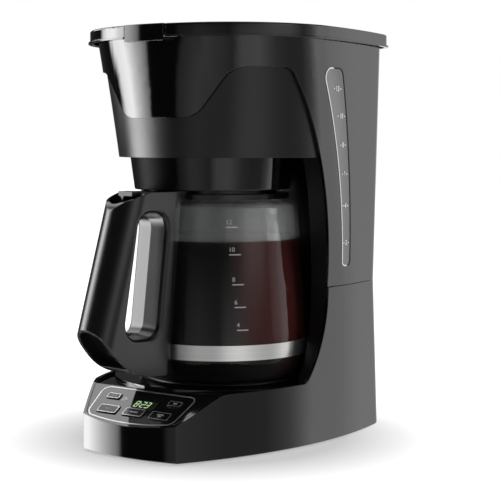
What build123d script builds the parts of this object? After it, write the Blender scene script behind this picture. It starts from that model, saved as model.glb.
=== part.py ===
from build123d import *
import os
from math import acos, asin, atan2, cos, degrees, hypot, radians, sin, sqrt, tan

# Drip coffee maker with a glass carafe. Millimetres, Z up, the front towards -Y, the water
# window on the right (+X). The origin is on the table under the middle of the whole object.

# Body heights above the table
BODY_HEIGHT = 345.0
RIM_HEIGHT = 11.0
BAY_TOP_Z = BODY_HEIGHT - 34.0
BIB_BOTTOM_Z = BODY_HEIGHT - 74.0
HEAD_BOTTOM_Z = BODY_HEIGHT - 106.0
WAIST_Z = 131.0
SIDE_EDGE_Z = 52.7
FOOT_HEIGHT = 1.5

# Body plan at the rim, at the waist and at the table
TOP_HALF_WIDTH = 107.0
RIM_OVERHANG = 6.5
RIM_HALF_WIDTH = TOP_HALF_WIDTH + RIM_OVERHANG
RIM_FRONT_Y = -92.0
REAR_Y = 143.5
TOP_FRONT_Y = -83.0
TOP_WIDEST_Y = 8.0
TOP_REAR_Y = 139.4
TOP_CORNER = 36.0
TOP_FRONT_TURN = 17.5
TOP_REAR_TURN = 12.0
WAIST_HALF_WIDTH = 97.0
WAIST_FRONT_Y = -66.0
WAIST_WIDEST_Y = 58.0
WAIST_REAR_Y = 134.3
WAIST_CORNER = 34.0
WAIST_FRONT_TURN = 50.0
WAIST_REAR_TURN = 9.0
BASE_HALF_WIDTH = 97.5
BASE_FRONT_Y = -118.0
BASE_REAR_Y = 142.8
BASE_FRONT_RADIUS = 187.0
BASE_SIDE_RADIUS = 318.0

# Walls and clearances
WALL = 2.8
INNER_WALL = 2.2
SEAM = 0.5
FIT = 0.3
REACH = 200.0

# Front edges of the side panels, seen from the side, and the bib, seen from the front
EDGE_Y = 33.5
EDGE_UPPER_RADIUS = 312.0
EDGE_LOWER_RADIUS = 125.0
EDGE_TOP_ROUND = 11.0
EDGE_LOW_ROUND = 9.0
EDGE_CREST_ROUND = 25.0
BIB_HALF_WIDTH = 35.5
BIB_SHOULDER = 65.5
BIB_ROUND = 22.0

# Top rim and hinged lid
LIP = 1.5
RIM_WALL = 2.2
RIM_FLANGE = 2.5
RIM_ROUND = 1.6
RIM_SKIRT_DEPTH = 12.0
LEDGE_WIDTH = 4.0
LEDGE_HEIGHT = 2.5
LID_THICKNESS = 3.0
LID_GAP = 0.8
TAB_WIDTH = 40.0
TAB_GAP = 1.2
TAB_DROP = 2.5
TAB_PROUD = 0.9
HINGE_Y = 128.0
HINGE_PIN_RADIUS = 2.0
HINGE_PLAY = 0.08
BARREL_RADIUS = 4.0
BARREL_HALF_LENGTH = 49.0
HINGE_EAR = 10.0
HINGE_SLOT_GAP = 1.5

# Water window in the right side panel
WINDOW_TOP_Z = BODY_HEIGHT - 33.7
WINDOW_BOTTOM_Z = 148.0
WINDOW_TOP_FRONT_Y = 10.0
WINDOW_TOP_WIDTH = 29.0
WINDOW_BOTTOM_FRONT_Y = 52.0
WINDOW_BOTTOM_WIDTH = 11.5
WINDOW_FRONT_BOW = 9.0
WINDOW_REAR_BOW = 5.0
WINDOW_TRIM = 1.1
WINDOW_TRIM_PROUD = 0.35
WINDOW_TOP_ROUND = 7.0
WINDOW_BOTTOM_ROUND = 3.5

# Brew head, basket, drip stop and lid shower
BASKET_Y = 0.0
HEAD_TOP_Z = BODY_HEIGHT - 17.0
HEAD_SETBACK = 12.0
HEAD_HOLE_RADIUS = 40.0
WELL_RADIUS = 63.0
WELL_TOP_Z = BODY_HEIGHT - 49.0
SKIRT_BOTTOM_Z = HEAD_BOTTOM_Z - 26.8
SKIRT_TOP_RADIUS = 69.5
SKIRT_BOTTOM_RADIUS = 66.0
SKIRT_ROUND = 1.0
BASKET_HEIGHT = 46.0
BASKET_BOTTOM_RADIUS = 42.0
BASKET_FLANGE = 4.0
NOZZLE_RADIUS = 14.0
NOZZLE_LENGTH = 17.0
STEM_RADIUS = 4.0
STEM_HOLE_RADIUS = 5.0
DRIP_SEAL_RADIUS = 10.0
DRIP_SEAL_THICKNESS = 2.0
DRIP_TIP_Z = SKIRT_BOTTOM_Z + 0.4
DRIP_TIP_RADIUS = 8.0
DRIP_TIP_HEIGHT = 3.5
SPRING_RADIUS = 6.6
SPRING_WIRE = 1.0
SPRING_TURNS = 6
SHOWER_RADIUS = 38.0
SHOWER_DEPTH = 6.0
SHOWER_NECK_RADIUS = 14.0
SHOWER_HOLES = 12
SHOWER_HOLE_RADIUS = 1.5

# Carafe bay and column
CARAFE_Y = 12.5
BAY_RADIUS = 80.0
COLUMN_SETBACK = 4.0
COLUMN_WALL = 2.5

# Water tank and hoses
TANK_BOTTOM_Z = 140.0
TANK_TOP_Z = BODY_HEIGHT - 23.0
TANK_WALL = 2.0
TANK_SETBACK = 16.0
TANK_PLAY = 0.6
HOSE_X = 30.0
HOSE_Y = 120.0
HOSE_RADIUS = 5.0
HOSE_BORE = 3.2
HOSE_BEND = 18.0
SPOUT_Z = BODY_HEIGHT - 14.0
SPOUT_Y = 36.0
RISER_CHANNEL = 11.0
VALVE_RADIUS = 8.0
VALVE_LENGTH = 21.0

# Base: deck, warming plate and heater
DECK_TOP_Z = 50.0
DECK_THICKNESS = 2.5
PLATFORM_RADIUS = 92.0
PLATFORM_RISE = 2.7
PLATE_RADIUS = 66.0
PLATE_TOP_Z = 53.2
PLATE_THICKNESS = 2.5
SEAL_WIDTH = 4.0
HEATER_RADIUS = 30.0
HEATER_TUBE = 5.0
HEATER_PAD_RADIUS = 55.0
HEATER_PAD = 4.5
THERMOSTAT_RADIUS = 8.0
THERMOSTAT_HEIGHT = 8.0
FUSE_RADIUS = 3.0
FUSE_LENGTH = 22.0
COVER_THICKNESS = 2.2
BOSS_X = 55.0
BOSS_FRONT_Y = -42.0
BOSS_REAR_Y = 85.0
BOSS_RADIUS = 4.0
SCREW_RADIUS = 1.3
SCREW_HEAD_RADIUS = 3.0
SCREW_HEAD = 1.4
SCREW_LENGTH = 14.0
FOOT_RADIUS = 8.0
FOOT_FRONT_X = 46.0
FOOT_FRONT_Y = -70.0
FOOT_REAR_X = 68.0
FOOT_REAR_Y = 112.0
GROMMET_X = 45.0
GROMMET_Z = 26.0
GROMMET_RADIUS = 6.5
GROMMET_BORE = 3.6
GROMMET_FLANGE = 1.8
POWER_BOARD_SIZE = (46.0, 64.0, 1.6)
POWER_BOARD_X = -48.0
POWER_BOARD_Y = 38.0
STANDOFF = 5.0
RELAY_SIZE = (16.0, 20.0, 15.0)
CAPACITOR_RADIUS = 5.0
CAPACITOR_HEIGHT = 12.0

# Sloped control panel, laid out on its own face: right, then up the slope
PANEL_LOW_Z = 27.0
PANEL_SLOPE = 31.5
PANEL_LENGTH = 44.0
PANEL_THICKNESS = 2.5
BIG_KEY = (20.5, 9.5)
SMALL_KEY = (14.0, 6.6)
KEY_CORNER = 1.6
KEY_PITCH = 27.0
BIG_KEY_V = 15.8
SMALL_KEY_U = 32.0
SMALL_KEY_V = 31.3
KEY_GAP = 0.25
KEY_PROUD = 1.0
KEY_DEPTH = 4.2
KEY_FLANGE = 1.0
KEY_TRAVEL = 1.0
LCD_SIZE = (24.0, 9.0)
LCD_U = 2.5
LCD_V = 26.4
LCD_LENS = 1.2
LCD_MODULE = 4.0
LAMP_U = -20.0
LAMP_V = 29.8
LAMP_RADIUS = 1.6
BOARD_SIZE = (74.0, 32.0, 1.6)
BOARD_DEPTH = 11.0
BOARD_V = 23.0
SWITCH_SIZE = 6.0

# Carafe, in its own frame: the axis is Z and the handle points to -Y
CARAFE_TURN = 6.5
GLASS_BOTTOM_Z = PLATE_TOP_Z + FIT
GLASS_WALL = 2.4
GLASS_FOOT_RADIUS = 68.0
GLASS_RADIUS = 75.5
GLASS_BELLY_LOW_Z = 72.0
GLASS_BELLY_HIGH_Z = 87.0
GLASS_SHOULDER_RADIUS = 64.5
GLASS_SHOULDER_Z = SKIRT_BOTTOM_Z - 10.4
NECK_RADIUS = 53.5
NECK_Z = SKIRT_BOTTOM_Z - 9.4
GLASS_TOP_Z = SKIRT_BOTTOM_Z - 6.0
GLASS_ROUNDS = [7.0, 20.0, 30.0, 7.0, 1.5]
BAND_LOW_Z = 74.0
BAND_HEIGHT = 12.5
BAND_THICKNESS = 1.0
COLLAR_LOW_Z = SKIRT_BOTTOM_Z - 8.0
COLLAR_TOP_Z = SKIRT_BOTTOM_Z - 3.7
COLLAR_RADIUS = 58.0
COLLAR_MOUTH = 44.0
CARAFE_LID_RADIUS = 48.0
CARAFE_LID_THICKNESS = 2.6
CARAFE_LID_HOLE = 14.0
LID_PIN_R = 66.0
LID_PIN_Z = SKIRT_BOTTOM_Z - 4.7
LID_PIN_RADIUS = 1.5
LID_PIN_PLAY = 0.06
LID_PIN_COVER = 2.0
LEVER_WIDTH = 16.0
LEVER_TIP_R = 112.0
LEVER_THICKNESS = 2.8
LEVER_KNUCKLE = 3.4
LEVER_PAD = 10.0

# Carafe handle: radius from the carafe axis, then height
HANDLE_HALF_WIDTH = 18.0
HANDLE_TOP_Z = SKIRT_BOTTOM_Z - 0.7
HANDLE_SHOULDER_R = 101.0
NOSE_TOP = (127.0, SKIRT_BOTTOM_Z - 9.2)
NOSE_LOW = (156.86, 105.0)
NOSE_ROUND = 14.0
HANDLE_END = (124.0, 65.0)
END_ROUND = 55.0
STRAP_FOOT = (80.0, 62.0)
STRAP_INNER_R = 45.0
STRAP_GAP = 0.4
STRAP_EDGE_TOP = 72.0
STRAP_EDGE_LOW = 84.0
SADDLE_HALF_WIDTH = 14.0
SLOT_TOP_Z = SKIRT_BOTTOM_Z - 18.7
NOSE_LEAN = (NOSE_LOW[0] - NOSE_TOP[0]) / (NOSE_TOP[1] - NOSE_LOW[1])
GRIP_BREADTH = 19.8946
SLOT_OUTER_R = NOSE_TOP[0] + (NOSE_TOP[1] - SLOT_TOP_Z) * NOSE_LEAN - GRIP_BREADTH
SLOT_CORNERS = [(82.1, SLOT_TOP_Z), (SLOT_OUTER_R, SLOT_TOP_Z), (128.5, 96.0), (94.5, 95.0)]
SLOT_ROUND = 12.0
SLOT_EDGE_ROUND = 4.0
SLOT_DRAFT = 5.0
HANDLE_WALL = 2.5
HOLLOW_DEPTH = 20.0
HOLLOW_TOP_Z = SKIRT_BOTTOM_Z - 40.2
CUP_DEPTH = 19.0
CUP_LENGTH = 3.0
POCKET_DEPTH = 11.0
POCKET_WALL = 5.0
LEVER_RECESS_DEPTH = 12.5
LEVER_RECESS_GAP = 1.2
LEVER_RECESS_END = 118.0

# Heights and places that follow from the sizes above
RIM_BOTTOM_Z = BODY_HEIGHT - RIM_HEIGHT
UPPER_TOP_Z = BODY_HEIGHT - RIM_FLANGE
SKIRT_INSET = WALL + FIT
WELL_INSET = SKIRT_INSET + INNER_WALL
LID_BOTTOM_Z = BODY_HEIGHT - LID_THICKNESS
LEDGE_TOP_Z = LID_BOTTOM_Z - FIT
HINGE_Z = BODY_HEIGHT - BARREL_RADIUS
LID_REAR_Y = HINGE_Y - 2.5 * BARREL_RADIUS
HEAD_PLATE_TOP_Z = HEAD_BOTTOM_Z + INNER_WALL
COVER_TOP_Z = FOOT_HEIGHT + COVER_THICKNESS
DECK_BOTTOM_Z = DECK_TOP_Z - DECK_THICKNESS
HEATER_TOP_Z = PLATE_TOP_Z - PLATE_THICKNESS
HEATER_Z = HEATER_TOP_Z - HEATER_PAD - HEATER_TUBE
HEATER_END_Y = CARAFE_Y + HEATER_PAD_RADIUS
BASKET_TOP_Z = WELL_TOP_Z + FIT + INNER_WALL
BASKET_FLOOR_Z = BASKET_TOP_Z - BASKET_HEIGHT
BASKET_RADIUS = WELL_RADIUS - 3 * FIT - BASKET_FLANGE
PANEL_PLANE = Plane(
    origin=(0, BASE_FRONT_Y, PANEL_LOW_Z),
    x_dir=(1, 0, 0),
    z_dir=(0, -sin(radians(PANEL_SLOPE)), cos(radians(PANEL_SLOPE))),
)
PANEL_TOP_Y = BASE_FRONT_Y + PANEL_LENGTH * cos(radians(PANEL_SLOPE))
DECK_FRONT_Y = PANEL_TOP_Y + PANEL_THICKNESS * sin(radians(PANEL_SLOPE)) + FIT
HANDLE_PLANE = Plane(origin=(0, 0, 0), x_dir=(0, -1, 0), z_dir=(-1, 0, 0))

UPPER_TOP = dict(
    half_width=TOP_HALF_WIDTH,
    front=TOP_FRONT_Y,
    widest=TOP_WIDEST_Y,
    rear=TOP_REAR_Y,
    front_turn=TOP_FRONT_TURN,
    rear_turn=TOP_REAR_TURN,
    corner=TOP_CORNER,
)
RIM = dict(UPPER_TOP, half_width=RIM_HALF_WIDTH, front=RIM_FRONT_Y, rear=REAR_Y)
UPPER_WAIST = dict(
    half_width=WAIST_HALF_WIDTH,
    front=WAIST_FRONT_Y,
    widest=WAIST_WIDEST_Y,
    rear=WAIST_REAR_Y,
    front_turn=WAIST_FRONT_TURN,
    rear_turn=WAIST_REAR_TURN,
    corner=WAIST_CORNER,
)
LOWER_WAIST = dict(
    half_width=WAIST_HALF_WIDTH,
    front=BASE_FRONT_Y,
    widest=WAIST_WIDEST_Y,
    rear=WAIST_REAR_Y,
    rear_turn=WAIST_REAR_TURN,
    corner=WAIST_CORNER,
)
BASE = dict(LOWER_WAIST, half_width=BASE_HALF_WIDTH, rear=BASE_REAR_Y)


def mirrored(edges):
    """The same edges on the other side of the object's middle plane."""
    return [edge.mirror(Plane.YZ) for edge in edges]


def rear_edges(half_width, widest, rear, rear_turn, corner, inset):
    """Right side arc and rear corner of a plan, and where the flat back begins."""
    turn = radians(rear_turn)
    width = half_width - inset
    corner_radius = corner - inset
    back = rear - inset
    side_radius = (back - widest - corner_radius * (1 - sin(turn))) / sin(turn)
    corner_x = width - side_radius + (side_radius - corner_radius) * cos(turn)
    side = CenterArc((width - side_radius, widest), side_radius, 0, rear_turn)
    bend = CenterArc((corner_x, back - corner_radius), corner_radius, rear_turn, 90 - rear_turn)
    return [side, bend], corner_x, back


def round_plan(z, section, inset=0):
    """Plan of the upper body: a broad front arc, shoulders, long sides and a flat back."""
    turn = radians(section["front_turn"])
    width = section["half_width"] - inset
    front = section["front"] + inset
    widest = section["widest"]
    ratio = cos(turn) / (1 - sin(turn))
    front_radius = (widest - front - width * ratio) / (1 - ratio)
    shoulder_radius = (width - front_radius * sin(turn)) / (1 - sin(turn))
    shoulder_x = (front_radius - shoulder_radius) * sin(turn)
    start = section["front_turn"] - 90
    shoulder = CenterArc((shoulder_x, widest), shoulder_radius, start, -start)
    rear, corner_x, back = rear_edges(
        section["half_width"], widest, section["rear"], section["rear_turn"], section["corner"], inset
    )
    right = [shoulder, *rear]
    front_arc = CenterArc(
        (0, front + front_radius), front_radius, -90 - section["front_turn"], 2 * section["front_turn"]
    )
    back_line = Line((corner_x, back), (-corner_x, back))
    return Pos(0, 0, z) * make_face([front_arc, *right, back_line, *mirrored(right)])


def creased_plan(z, section, inset=0):
    """Plan of the base: a bowed front wall that meets long curved sides at two creases."""
    front_centre = section["front"] + BASE_FRONT_RADIUS
    front_radius = BASE_FRONT_RADIUS - inset
    side_centre = section["half_width"] - BASE_SIDE_RADIUS
    side_radius = BASE_SIDE_RADIUS - inset
    widest = section["widest"]
    apart = hypot(side_centre, widest - front_centre)
    lean = atan2(widest - front_centre, side_centre)
    spread = acos((front_radius**2 + apart**2 - side_radius**2) / (2 * front_radius * apart))
    crease_angle = lean + spread
    crease_x = front_radius * cos(crease_angle)
    crease_y = front_centre + front_radius * sin(crease_angle)
    front_turn = degrees(asin(crease_x / front_radius))
    front_arc = CenterArc((0, front_centre), front_radius, -90 - front_turn, 2 * front_turn)
    side_turn = degrees(atan2(widest - crease_y, crease_x - side_centre))
    side = CenterArc((side_centre, widest), side_radius, -side_turn, side_turn)
    rear, corner_x, back = rear_edges(
        section["half_width"], widest, section["rear"], section["rear_turn"], section["corner"], inset
    )
    right = [side, *rear]
    back_line = Line((corner_x, back), (-corner_x, back))
    return Pos(0, 0, z) * make_face([front_arc, *right, back_line, *mirrored(right)])


def upper_form(inset=0):
    """Solid body from the waist to the rim, its skin inset all round."""
    waist = round_plan(WAIST_Z, UPPER_WAIST, inset)
    return loft([waist, round_plan(UPPER_TOP_Z, UPPER_TOP, inset)], ruled=True)


def lower_form(inset=0):
    """Solid base from its lower edge to the waist, its skin inset all round."""
    bottom = creased_plan(FOOT_HEIGHT, BASE, inset)
    return loft([bottom, creased_plan(WAIST_Z - SEAM, LOWER_WAIST, inset)], ruled=True)


def block(x, y, z):
    """Box between two values on each axis."""
    size = (x[1] - x[0], y[1] - y[0], z[1] - z[0])
    centre = ((x[0] + x[1]) / 2, (y[0] + y[1]) / 2, (z[0] + z[1]) / 2)
    return Pos(*centre) * Box(*size)


def slab(low_z, high_z):
    """Everything between two heights."""
    return block((-REACH, REACH), (-REACH, REACH), (low_z, high_z))


def post(x, y, low_z, high_z, radius):
    """Upright cylinder between two heights."""
    return Pos(x, y, (low_z + high_z) / 2) * Cylinder(radius, high_z - low_z)


def edge_arcs(low_z, high_z, setback):
    """Upper and lower arc of the side panels' front edge, set back into the column."""
    upper_radius = EDGE_UPPER_RADIUS + setback
    lower_radius = EDGE_LOWER_RADIUS + setback
    rise = degrees(asin((high_z - WAIST_Z) / upper_radius))
    drop = degrees(asin((WAIST_Z - low_z) / lower_radius))
    upper = CenterArc((EDGE_Y - EDGE_UPPER_RADIUS, WAIST_Z), upper_radius, 0, rise)
    lower = CenterArc((EDGE_Y - EDGE_LOWER_RADIUS, WAIST_Z), lower_radius, -drop, drop)
    return upper, lower


def across(face):
    """Side-view face, Y then Z, carried right across the object."""
    return extrude(Plane.YZ * face, amount=REACH, both=True)


def front_space(low_z, high_z, setback):
    """Open space in front of the column between two heights."""
    upper, lower = edge_arcs(DECK_BOTTOM_Z, BODY_HEIGHT, setback)
    top, bottom = upper @ 1, lower @ 0
    far = (-REACH, BODY_HEIGHT), (-REACH, DECK_BOTTOM_Z)
    lines = [Line((top.X, top.Y), far[0]), Line(*far), Line(far[1], (bottom.X, bottom.Y))]
    return across(make_face([upper, *lines, lower])) & slab(low_z, high_z)


def bay_cut():
    """Space that the side panels leave open, down to the deck and the panel's slope."""
    upper, lower = edge_arcs(SIDE_EDGE_Z, BAY_TOP_Z, 0)
    top, bottom = upper @ 1, lower @ 0
    slope = tan(radians(PANEL_SLOPE))
    crest = (BASE_FRONT_Y + (SIDE_EDGE_Z - PANEL_LOW_Z) / slope, SIDE_EDGE_Z)
    far_low = (-REACH, PANEL_LOW_Z + (-REACH - BASE_FRONT_Y) * slope)
    lines = [
        Line((top.X, top.Y), (-REACH, BAY_TOP_Z)),
        Line((-REACH, BAY_TOP_Z), far_low),
        Line(far_low, crest),
        Line(crest, (bottom.X, bottom.Y)),
    ]
    face = make_face([upper, *lines, lower])
    face = fillet(face.vertices().sort_by_distance((bottom.X, bottom.Y, 0))[0], EDGE_LOW_ROUND)
    face = fillet(face.vertices().sort_by_distance((*crest, 0))[0], EDGE_CREST_ROUND)
    face = fillet(face.vertices().sort_by_distance((top.X, top.Y, 0))[0], EDGE_TOP_ROUND)
    return across(face)


def bib_keep():
    """Front view of what stays over the brew head: the bib and the panels above it."""
    corners = [
        (-BIB_HALF_WIDTH, BIB_BOTTOM_Z),
        (BIB_HALF_WIDTH, BIB_BOTTOM_Z),
        (BIB_SHOULDER, BAY_TOP_Z),
        (REACH, BAY_TOP_Z),
        (REACH, BODY_HEIGHT),
        (-REACH, BODY_HEIGHT),
        (-REACH, BAY_TOP_Z),
        (-BIB_SHOULDER, BAY_TOP_Z),
    ]
    face = make_face(Polyline(*corners, close=True))
    bends = [vertex for vertex in face.vertices() if abs(vertex.X) < REACH]
    return extrude(Plane.XZ * fillet(bends, BIB_ROUND), amount=REACH)


def tab_notch(low_z):
    """Notch in the front of the rim and shell, which the lid's finger tab fills."""
    half = TAB_WIDTH / 2 + TAB_GAP
    return block((-half, half), (-REACH, TOP_FRONT_Y + 3 * WELL_INSET), (low_z, BODY_HEIGHT))


def window_prism(margin):
    """Tapered outline of the water window, carried through the right side panel."""
    top_front = (WINDOW_TOP_FRONT_Y, WINDOW_TOP_Z)
    top_rear = (WINDOW_TOP_FRONT_Y + WINDOW_TOP_WIDTH, WINDOW_TOP_Z)
    low_front = (WINDOW_BOTTOM_FRONT_Y, WINDOW_BOTTOM_Z)
    low_rear = (WINDOW_BOTTOM_FRONT_Y + WINDOW_BOTTOM_WIDTH, WINDOW_BOTTOM_Z)
    middle_z = (WINDOW_TOP_Z + WINDOW_BOTTOM_Z) / 2
    front_middle = ((top_front[0] + low_front[0]) / 2 + WINDOW_FRONT_BOW, middle_z)
    rear_middle = ((top_rear[0] + low_rear[0]) / 2 + WINDOW_REAR_BOW, middle_z)
    face = make_face(
        [
            ThreePointArc(top_front, front_middle, low_front),
            Line(low_front, low_rear),
            ThreePointArc(low_rear, rear_middle, top_rear),
            Line(top_rear, top_front),
        ]
    )
    corners = face.vertices().sort_by(Axis.Y)
    face = fillet(corners[:2], WINDOW_BOTTOM_ROUND)
    corners = face.vertices().sort_by(Axis.Y)
    face = fillet(corners[-2:], WINDOW_TOP_ROUND)
    if margin:
        face = offset(face, amount=margin)
    return extrude(Plane.YZ * face, amount=REACH)


def upper_housing():
    """Tall shell: side panels, back and the bib over the brew head."""
    shell = upper_form() - upper_form(WALL)
    shell -= bay_cut() - bib_keep()
    shell -= window_prism(WINDOW_TRIM)
    return shell - tab_notch(RIM_BOTTOM_Z)


def lower_housing():
    """Base shell with the two cheeks that rise to the waist."""
    shell = lower_form() - lower_form(WALL) - bay_cut()
    bore = Pos(GROMMET_X, BASE_REAR_Y, GROMMET_Z) * Rot(90, 0, 0) * Cylinder(GROMMET_RADIUS, REACH / 4)
    return shell - bore


def lid_well(low_z, high_z, inset):
    """Opening that the lid lies in: the round well and the slot for the hinge barrel."""
    well = Pos(0, 0, low_z) * extrude(round_plan(0, UPPER_TOP, inset), amount=high_z - low_z)
    gap = WELL_INSET + LID_GAP - inset
    rear_y = LID_REAR_Y + (HINGE_SLOT_GAP if gap > 0 else 0)
    well -= block((-REACH, REACH), (rear_y, REACH), (low_z, high_z))
    half = BARREL_HALF_LENGTH + max(gap, 0)
    barrel_end = HINGE_Y + (BARREL_RADIUS + HINGE_SLOT_GAP if gap > 0 else 0)
    return well + block((-half, half), (rear_y - BARREL_RADIUS, barrel_end), (low_z, high_z))


def hinge_rod(radius, half_length):
    """Rod on the lid's hinge axis."""
    return Pos(0, HINGE_Y, HINGE_Z) * Rot(0, 90, 0) * Cylinder(radius, 2 * half_length)


def top_rim():
    """Overhanging collar that caps the shell, with a ledge for the lid and ears for its pin."""
    band = extrude(round_plan(RIM_BOTTOM_Z, RIM, LIP), amount=RIM_HEIGHT)
    band = fillet(band.faces().sort_by(Axis.Z)[-1].edges(), RIM_ROUND)
    band += extrude(round_plan(RIM_BOTTOM_Z, RIM), amount=LIP)
    band -= extrude(round_plan(RIM_BOTTOM_Z, RIM, LIP + RIM_WALL), amount=RIM_HEIGHT - RIM_FLANGE)
    skirt_zone = slab(UPPER_TOP_Z - RIM_SKIRT_DEPTH, UPPER_TOP_Z)
    skirt = (upper_form(SKIRT_INSET) - upper_form(WELL_INSET)) & skirt_zone
    ledge_zone = slab(LEDGE_TOP_Z - LEDGE_HEIGHT, LEDGE_TOP_Z)
    ledge = (upper_form(SKIRT_INSET) - upper_form(WELL_INSET + LEDGE_WIDTH)) & ledge_zone
    half = BARREL_HALF_LENGTH + LID_GAP
    ear_z = (LEDGE_TOP_Z - 2 * BARREL_RADIUS, UPPER_TOP_Z)
    ear_y = (HINGE_Y - BARREL_RADIUS, TOP_REAR_Y - WELL_INSET)
    ears = block((-half - HINGE_EAR, half + HINGE_EAR), ear_y, ear_z)
    rim = band - lid_well(UPPER_TOP_Z, BODY_HEIGHT, WELL_INSET) + skirt + ledge + ears
    slot_y = (LID_REAR_Y, HINGE_Y + BARREL_RADIUS + HINGE_SLOT_GAP)
    rim -= block((-half, half), slot_y, (ear_z[0], BODY_HEIGHT))
    rim -= hinge_rod(HINGE_PIN_RADIUS, half + HINGE_EAR)
    return rim - tab_notch(RIM_BOTTOM_Z - RIM_SKIRT_DEPTH)


def lid_hinge_pin():
    """Steel pin across the lid's barrel, held in the rim's ears."""
    return hinge_rod(HINGE_PIN_RADIUS, BARREL_HALF_LENGTH + LID_GAP + HINGE_EAR)


def lid_cover():
    """Top lid with its hinge barrel at the back and its finger tab at the front."""
    lid = lid_well(LID_BOTTOM_Z, BODY_HEIGHT, WELL_INSET + LID_GAP)
    lid += hinge_rod(BARREL_RADIUS, BARREL_HALF_LENGTH)
    tab = extrude(round_plan(RIM_BOTTOM_Z - TAB_DROP, RIM, LIP - TAB_PROUD), amount=RIM_HEIGHT + TAB_DROP)
    half = TAB_WIDTH / 2
    tab &= block((-half, half), (-REACH, TOP_FRONT_Y + 2 * WELL_INSET), (0, BODY_HEIGHT))
    body = upper_form(-LID_GAP) & slab(WAIST_Z, RIM_BOTTOM_Z + LID_GAP)
    lid += tab - body
    return lid - hinge_rod(HINGE_PIN_RADIUS + HINGE_PLAY, REACH / 2)


def lid_shower():
    """Spray disc under the lid, over the middle of the filter basket."""
    low_z = LID_BOTTOM_Z - 2 * SHOWER_DEPTH
    roof_z = low_z + SHOWER_DEPTH - INNER_WALL
    disc = post(0, BASKET_Y, low_z, low_z + SHOWER_DEPTH, SHOWER_RADIUS)
    disc -= post(0, BASKET_Y, low_z + INNER_WALL, roof_z, SHOWER_RADIUS - INNER_WALL)
    neck = post(0, BASKET_Y, roof_z, LID_BOTTOM_Z, SHOWER_NECK_RADIUS)
    ring = PolarLocations(SHOWER_RADIUS / 2, SHOWER_HOLES)
    holes = Pos(0, BASKET_Y, low_z) * ring * Cylinder(SHOWER_HOLE_RADIUS, 3 * INNER_WALL)
    return disc + neck - holes


def brew_head():
    """Tapered head behind the bib: its skin, its floor over the bay and the basket's well."""
    front = front_space(HEAD_BOTTOM_Z, HEAD_TOP_Z, HEAD_SETBACK)
    skin = (upper_form(SKIRT_INSET) - upper_form(WELL_INSET)) & front
    floor_zone = slab(HEAD_BOTTOM_Z, HEAD_PLATE_TOP_Z)
    bay = post(0, CARAFE_Y, HEAD_BOTTOM_Z, HEAD_PLATE_TOP_Z, BAY_RADIUS - FIT)
    floor = upper_form(SKIRT_INSET) & floor_zone & (front + bay)
    well = post(0, BASKET_Y, HEAD_BOTTOM_Z, WELL_TOP_Z, WELL_RADIUS + INNER_WALL)
    well -= post(0, BASKET_Y, HEAD_PLATE_TOP_Z, WELL_TOP_Z, WELL_RADIUS)
    head = skin + floor + well
    return head - post(0, BASKET_Y, HEAD_BOTTOM_Z, HEAD_PLATE_TOP_Z, HEAD_HOLE_RADIUS)


def drip_skirt():
    """Glossy ring that hangs from the brew head and hides the drip stop."""
    wall = INNER_WALL
    low = (SKIRT_BOTTOM_RADIUS, SKIRT_BOTTOM_Z)
    profile = Polyline(
        (SKIRT_TOP_RADIUS, HEAD_BOTTOM_Z),
        low,
        (SKIRT_BOTTOM_RADIUS - wall, SKIRT_BOTTOM_Z),
        (SKIRT_TOP_RADIUS - wall, HEAD_BOTTOM_Z),
        close=True,
    )
    face = make_face(profile)
    face = fillet(face.vertices().sort_by_distance((*low, 0))[0], SKIRT_ROUND)
    return Pos(0, BASKET_Y, 0) * revolve(Plane.XZ * face, Axis.Z)


def bay_space(setback, radius, low_z, high_z):
    """Room for the carafe: the space in front of the column and the round pocket in it."""
    return front_space(low_z, high_z, setback) + post(0, CARAFE_Y, low_z, high_z, radius)


def column_front():
    """Dark inner wall of the column, which wraps round the back of the carafe."""
    low_z, high_z = DECK_TOP_Z, HEAD_BOTTOM_Z
    outer = bay_space(COLUMN_SETBACK + COLUMN_WALL, BAY_RADIUS + COLUMN_WALL, low_z, high_z)
    wall = outer - bay_space(COLUMN_SETBACK, BAY_RADIUS, low_z, high_z)
    upper = wall & upper_form(SKIRT_INSET) & slab(WAIST_Z, high_z)
    lower = wall & lower_form(SKIRT_INSET) & slab(low_z, WAIST_Z - SEAM)
    bridge = wall & upper_form(SKIRT_INSET + FIT) & slab(WAIST_Z, WAIST_Z + SEAM)
    bridge = extrude(bridge.faces().sort_by(Axis.Z)[0], amount=SEAM, dir=(0, 0, -1))
    return upper + lower + bridge


def tank_form(skin, setback, pocket, low_z, high_z, channel):
    """Solid that fills the column behind the bay, less the hose's channel at the back."""
    form = upper_form(skin) & slab(low_z, high_z)
    form -= front_space(low_z, high_z, setback)
    form -= post(0, CARAFE_Y, low_z, HEAD_PLATE_TOP_Z + pocket, BAY_RADIUS + pocket)
    form -= post(0, BASKET_Y, HEAD_BOTTOM_Z - pocket, high_z, WELL_RADIUS + pocket)
    return form - block((-HOSE_X - channel, -HOSE_X + channel), (HOSE_Y - channel, REACH), (low_z, high_z))


def water_tank():
    """Open-topped reservoir in the column, U-shaped round the brew head."""
    pocket = COLUMN_WALL + TANK_WALL
    outer = tank_form(WALL + TANK_PLAY, TANK_SETBACK, pocket, TANK_BOTTOM_Z, TANK_TOP_Z, RISER_CHANNEL)
    inner = tank_form(
        WALL + TANK_PLAY + TANK_WALL,
        TANK_SETBACK + TANK_WALL,
        pocket + TANK_WALL,
        TANK_BOTTOM_Z + TANK_WALL,
        TANK_TOP_Z,
        RISER_CHANNEL + TANK_WALL,
    )
    outlet = post(HOSE_X, HOSE_Y, TANK_BOTTOM_Z, TANK_BOTTOM_Z + TANK_WALL, HOSE_BORE)
    return outer - inner - outlet


def water_window():
    """Clear strip in the right side panel, flush with its skin."""
    return (upper_form() - upper_form(WALL)) & window_prism(0)


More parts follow.
